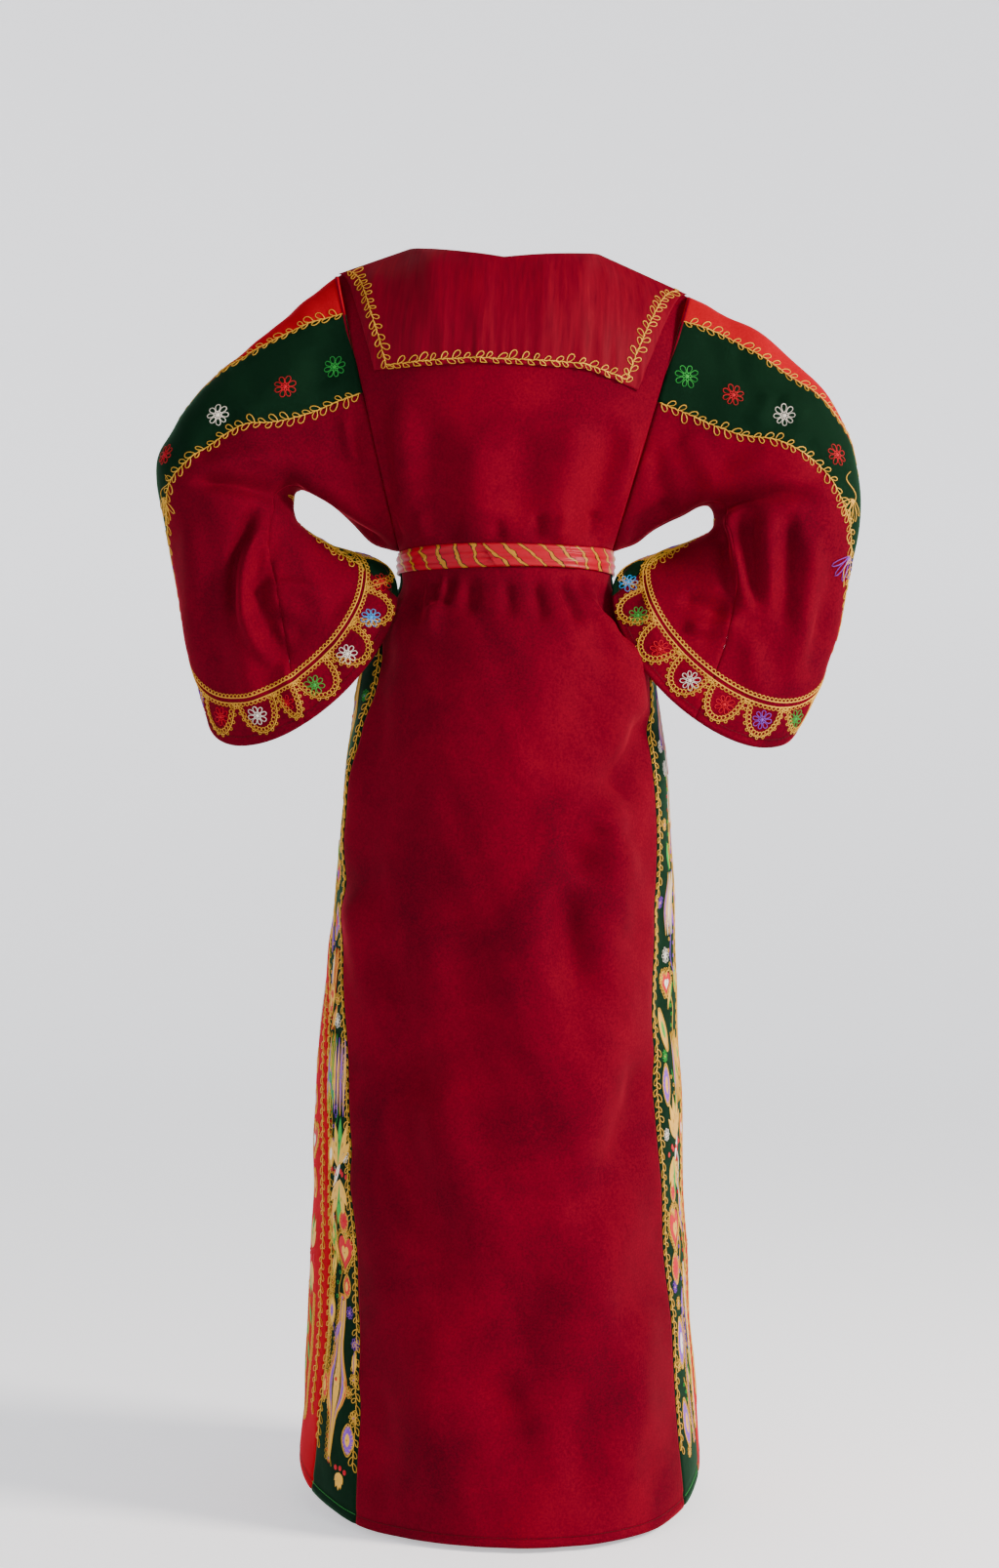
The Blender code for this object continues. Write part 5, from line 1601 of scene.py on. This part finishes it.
class THOBE_OT_cuffs(bpy.types.Operator):
    """Embroiders both cuffs: a straight row of loops with scallops below it, and a flower in each"""

    bl_idname = "thobe.cuffs"
    bl_label = "Cuff scallops"

    def execute(self, context):
        for word, colours in CUFF_COLOURS.items():
            cloth, turn, starts = sleeve_cloth(word)
            places = starts["front_lower"] + np.arange(turn + 1.0)
            rows = np.interp(places, np.arange(cloth.points.shape[1]), rows_at(cloth, CUFF_TOP))
            work = Stitching()
            for distance, side in ((0, 1), (LOOP * 1.3, -1)):
                level = rows_at(cloth, CUFF_TOP + distance)
                rail = np.interp(places, np.arange(cloth.points.shape[1]), level)
                spots = even_spots(cloth, rail, places, LOOP_PITCH)
                ring = LOOP / 2 * np.stack([np.cos(RING_TURN), np.sin(RING_TURN)], -1)
                work.cord(spots, ring + np.array([0, side * LOOP * 0.4]), FINE_CORD, "gold")
                centre, normal = lay_on(cloth.points, rail, places), lay_on(cloth.normals, rail, places)
                work.tube(centre[None], normal[None], CORD, "gold", False, CORD_LIFT, BRAID_SIDES)
            length = run_length(lay_on(cloth.points, rows, places))
            widths = np.array([NARROW_SCALLOP if name == "narrow" else 1.0 for name in colours])
            widths *= length[-1] / widths.sum()
            for colour, width, end in zip(colours, widths, np.cumsum(widths)):
                middle = np.interp(end - width / 2, length, places)
                row = np.interp(middle, places, rows)
                ends = [lay_on(cloth.points, *(np.array([v]) for v in (np.interp(p, places, rows), p)))[0]
                        for p in (middle - 1, middle + 1)]
                _, _, across, along = cloth_steps(Spot(cloth, row, middle, 0))
                step = ends[1] - ends[0]
                heading = float(np.arctan2((step * along).sum(), (step * across).sum()))
                scallop(work, Spot(cloth, row, middle, heading), width, colour)
            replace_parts(work.build(f"cuff_braid_{word}_threads"), "cuff_braid_" + word)
        return {"FINISHED"}


class THOBE_OT_sleeve_embroidery(bpy.types.Operator):
    """Embroiders the green stripes: single flowers over the upper arm, leaves and loops over the forearm"""

    bl_idname = "thobe.sleeve_embroidery"
    bl_label = "Sleeve embroidery"

    def execute(self, context):
        for word in SLEEVES:
            cloth, turn, starts = sleeve_cloth(word)
            work = Stitching()
            for bloom in SLEEVE_FLOWERS[word]:
                flower(work, spot_at(cloth, bloom.x, bloom.z), bloom.size, bloom.colour, middle=bloom.colour)
            for mark in SLEEVE_SCROLLS[word]:
                sew_scroll(work, spot_at(cloth, mark.x, mark.z, mark.turn), mark)
            work.build(f"sleeve_{word}_flowers")
            work = Stitching()
            width = next(strip.columns for strip in STRIPS if strip.name == "front_stripe") - 1
            for motif in FOREARM:
                row = motif.height * (SLEEVE_ROWS - 1) / (len(FILL) - 1)
                column = starts["front_stripe"] + (1 + motif.share) / 2 * width
                STITCHED[motif.kind](work, Spot(cloth, row, column, motif.turn), motif)
            for share in FOREARM_RAILS:
                rows = np.linspace(FOREARM_FROM, FOREARM_TO, FOREARM_POINTS)
                rows = rows * (SLEEVE_ROWS - 1) / (len(FILL) - 1)
                braid(work, cloth, rows, np.full(FOREARM_POINTS, starts["front_stripe"] + share * width), 5)
            work.build(f"sleeve_{word}_forearm_threads")
        return {"FINISHED"}


class THOBE_OT_strip_embroidery(bpy.types.Operator):
    """Embroiders the side strips and the edges of the front panel beside them"""

    bl_idname = "thobe.strip_embroidery"
    bl_label = "Side embroidery"

    def execute(self, context):
        cloths = body_cloth()
        for word in SLEEVES:
            work = Stitching()
            for motif in STRIP_MOTIFS[word]:
                spot = strip_spot(cloths["side_strip_" + word], motif.height, motif.share, motif.turn,
                                  flip=word == "right")
                STITCHED[motif.kind](work, spot, motif)
            for number, share in enumerate(STRIP_RAILS):
                rail(work, cloths["side_strip_" + word], share, STRIP_RAIL_ENDS, word == "right", number)
            work.build(f"side_strip_{word}_threads")
            work = Stitching()
            for motif in FRONT_MOTIFS:
                spot = strip_spot(cloths["front_panel"], motif.height, motif.share, motif.turn,
                                  flip=word == "right")
                STITCHED[motif.kind](work, spot, motif)
            rail(work, cloths["front_panel"], FRONT_RAIL, FRONT_RAIL_ENDS, word == "right", 7)
            work.build(f"front_panel_{word}_threads")
        return {"FINISHED"}


class THOBE_OT_topstitch(bpy.types.Operator):
    """Sews the rows of small stitches that hold the turned hem, the neck edge and the cuffs"""

    bl_idname = "thobe.topstitch"
    bl_label = "Topstitching"

    def execute(self, context):
        work = Stitching()
        for name, cloth in body_cloth().items():
            columns = np.arange(cloth.points.shape[1], dtype=float)
            stitches(work, cloth, rows_at(cloth, HEM_TURN), columns, "green" if "strip" in name else "maroon")
        cloth = body_cloth()["back_panel"]
        columns = np.arange(cloth.points.shape[1], dtype=float)
        columns = columns[np.abs(cloth.points[0, :, 0]) < SHOULDER_NECK_X]
        stitches(work, cloth, np.full(len(columns), NECK_STITCH_ROW), columns, "maroon")
        for word in SLEEVES:
            cloth, turn, _ = sleeve_cloth(word)
            rows = rows_at(cloth, HEM_TURN)[:turn + 1]
            stitches(work, cloth, rows, np.arange(turn + 1.0), "maroon")
        work.build("topstitch_threads")
        return {"FINISHED"}


class THOBE_OT_stage(bpy.types.Operator):
    """Sets up a pale floor that curves up behind, soft lights and the camera"""

    bl_idname = "thobe.stage"
    bl_label = "Stage"

    def execute(self, context):
        settings = context.scene.thobe_stage
        rise = np.linspace(0, np.pi / 2, STAGE_STEPS)
        radius = np.concatenate([[STAGE_MIDDLE], STAGE_RADIUS + STAGE_CURVE * np.sin(rise),
                                 [STAGE_RADIUS + STAGE_CURVE]])
        height = np.concatenate([[0.0], STAGE_CURVE * (1 - np.cos(rise)), [STAGE_HEIGHT]]) + FLOOR
        round_it = np.linspace(0, 2 * np.pi, STAGE_COLUMNS)[None, :]
        x, y = radius[:, None] * np.cos(round_it), radius[:, None] * np.sin(round_it)
        points = np.stack(np.broadcast_arrays(x, y, height[:, None]), -1)
        number = np.arange(points.size // 3).reshape(points.shape[:2])
        quads = np.stack([number[:-1, :-1], number[1:, :-1], number[1:, 1:], number[:-1, 1:]], -1)
        paper = plain("floor_paper", "#f4f5f8", 0.9, settings.paper)
        new_object("floor", points.reshape(-1, 3), quads.reshape(-1, 4), [paper])
        for light in LIGHTS:
            data = bpy.data.lights.new(light.name, "AREA")
            data.shape = "RECTANGLE"
            data.size, data.size_y = light.width, light.height
            data.energy = getattr(settings, light.power) * light.share
            data.color = linear(light.colour)[:3]
            lamp = bpy.data.objects.new(light.name, data)
            lamp.location = light.place
            toward = Vector(light.target) - Vector(light.place)
            lamp.rotation_euler = toward.to_track_quat("-Z", "Y").to_euler()
            lamp.visible_camera = False
            context.scene.collection.objects.link(lamp)
        world = bpy.data.worlds.new("studio")
        world.use_nodes = True
        background = world.node_tree.nodes["Background"]
        background.inputs["Color"].default_value = linear("#eef0f4")
        background.inputs["Strength"].default_value = settings.sky
        context.scene.world = world
        camera = bpy.data.objects.new("camera", bpy.data.cameras.new("camera"))
        camera.data.lens = CAMERA_LENS
        camera.data.sensor_width = CAMERA_SENSOR
        camera.location = CAMERA_PLACE
        camera.rotation_euler = (np.pi / 2, 0, np.pi)
        context.scene.collection.objects.link(camera)
        context.scene.camera = camera
        return {"FINISHED"}


OPERATORS = (THOBE_OT_body, THOBE_OT_sleeves, THOBE_OT_yoke, THOBE_OT_sash, THOBE_OT_braids, THOBE_OT_cuffs,
             THOBE_OT_sleeve_embroidery, THOBE_OT_strip_embroidery, THOBE_OT_topstitch, THOBE_OT_stage)


class THOBE_PT_panel(bpy.types.Panel):
    """Lists the settings and the steps of the dress"""

    bl_idname = "THOBE_PT_panel"
    bl_label = "Thobe"
    bl_space_type = "VIEW_3D"
    bl_region_type = "UI"
    bl_category = "Thobe"

    def draw(self, context):
        for settings in (context.scene.thobe_cloth, context.scene.thobe_stage):
            for name in settings.__annotations__:
                self.layout.prop(settings, name)
        for operator in OPERATORS:
            self.layout.operator(operator.bl_idname)


CLASSES = (ThobeClothSettings, ThobeStageSettings, *OPERATORS, THOBE_PT_panel)


def register():
    for item in CLASSES:
        bpy.utils.register_class(item)
    bpy.types.Scene.thobe_cloth = bpy.props.PointerProperty(type=ThobeClothSettings)
    bpy.types.Scene.thobe_stage = bpy.props.PointerProperty(type=ThobeStageSettings)


def unregister():
    del bpy.types.Scene.thobe_cloth
    del bpy.types.Scene.thobe_stage
    for item in reversed(CLASSES):
        bpy.utils.unregister_class(item)


def main():
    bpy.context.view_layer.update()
    register()
    for operator in OPERATORS:
        family, step = operator.bl_idname.split(".")
        getattr(getattr(bpy.ops, family), step)()


if __name__ == "__main__":
    main()
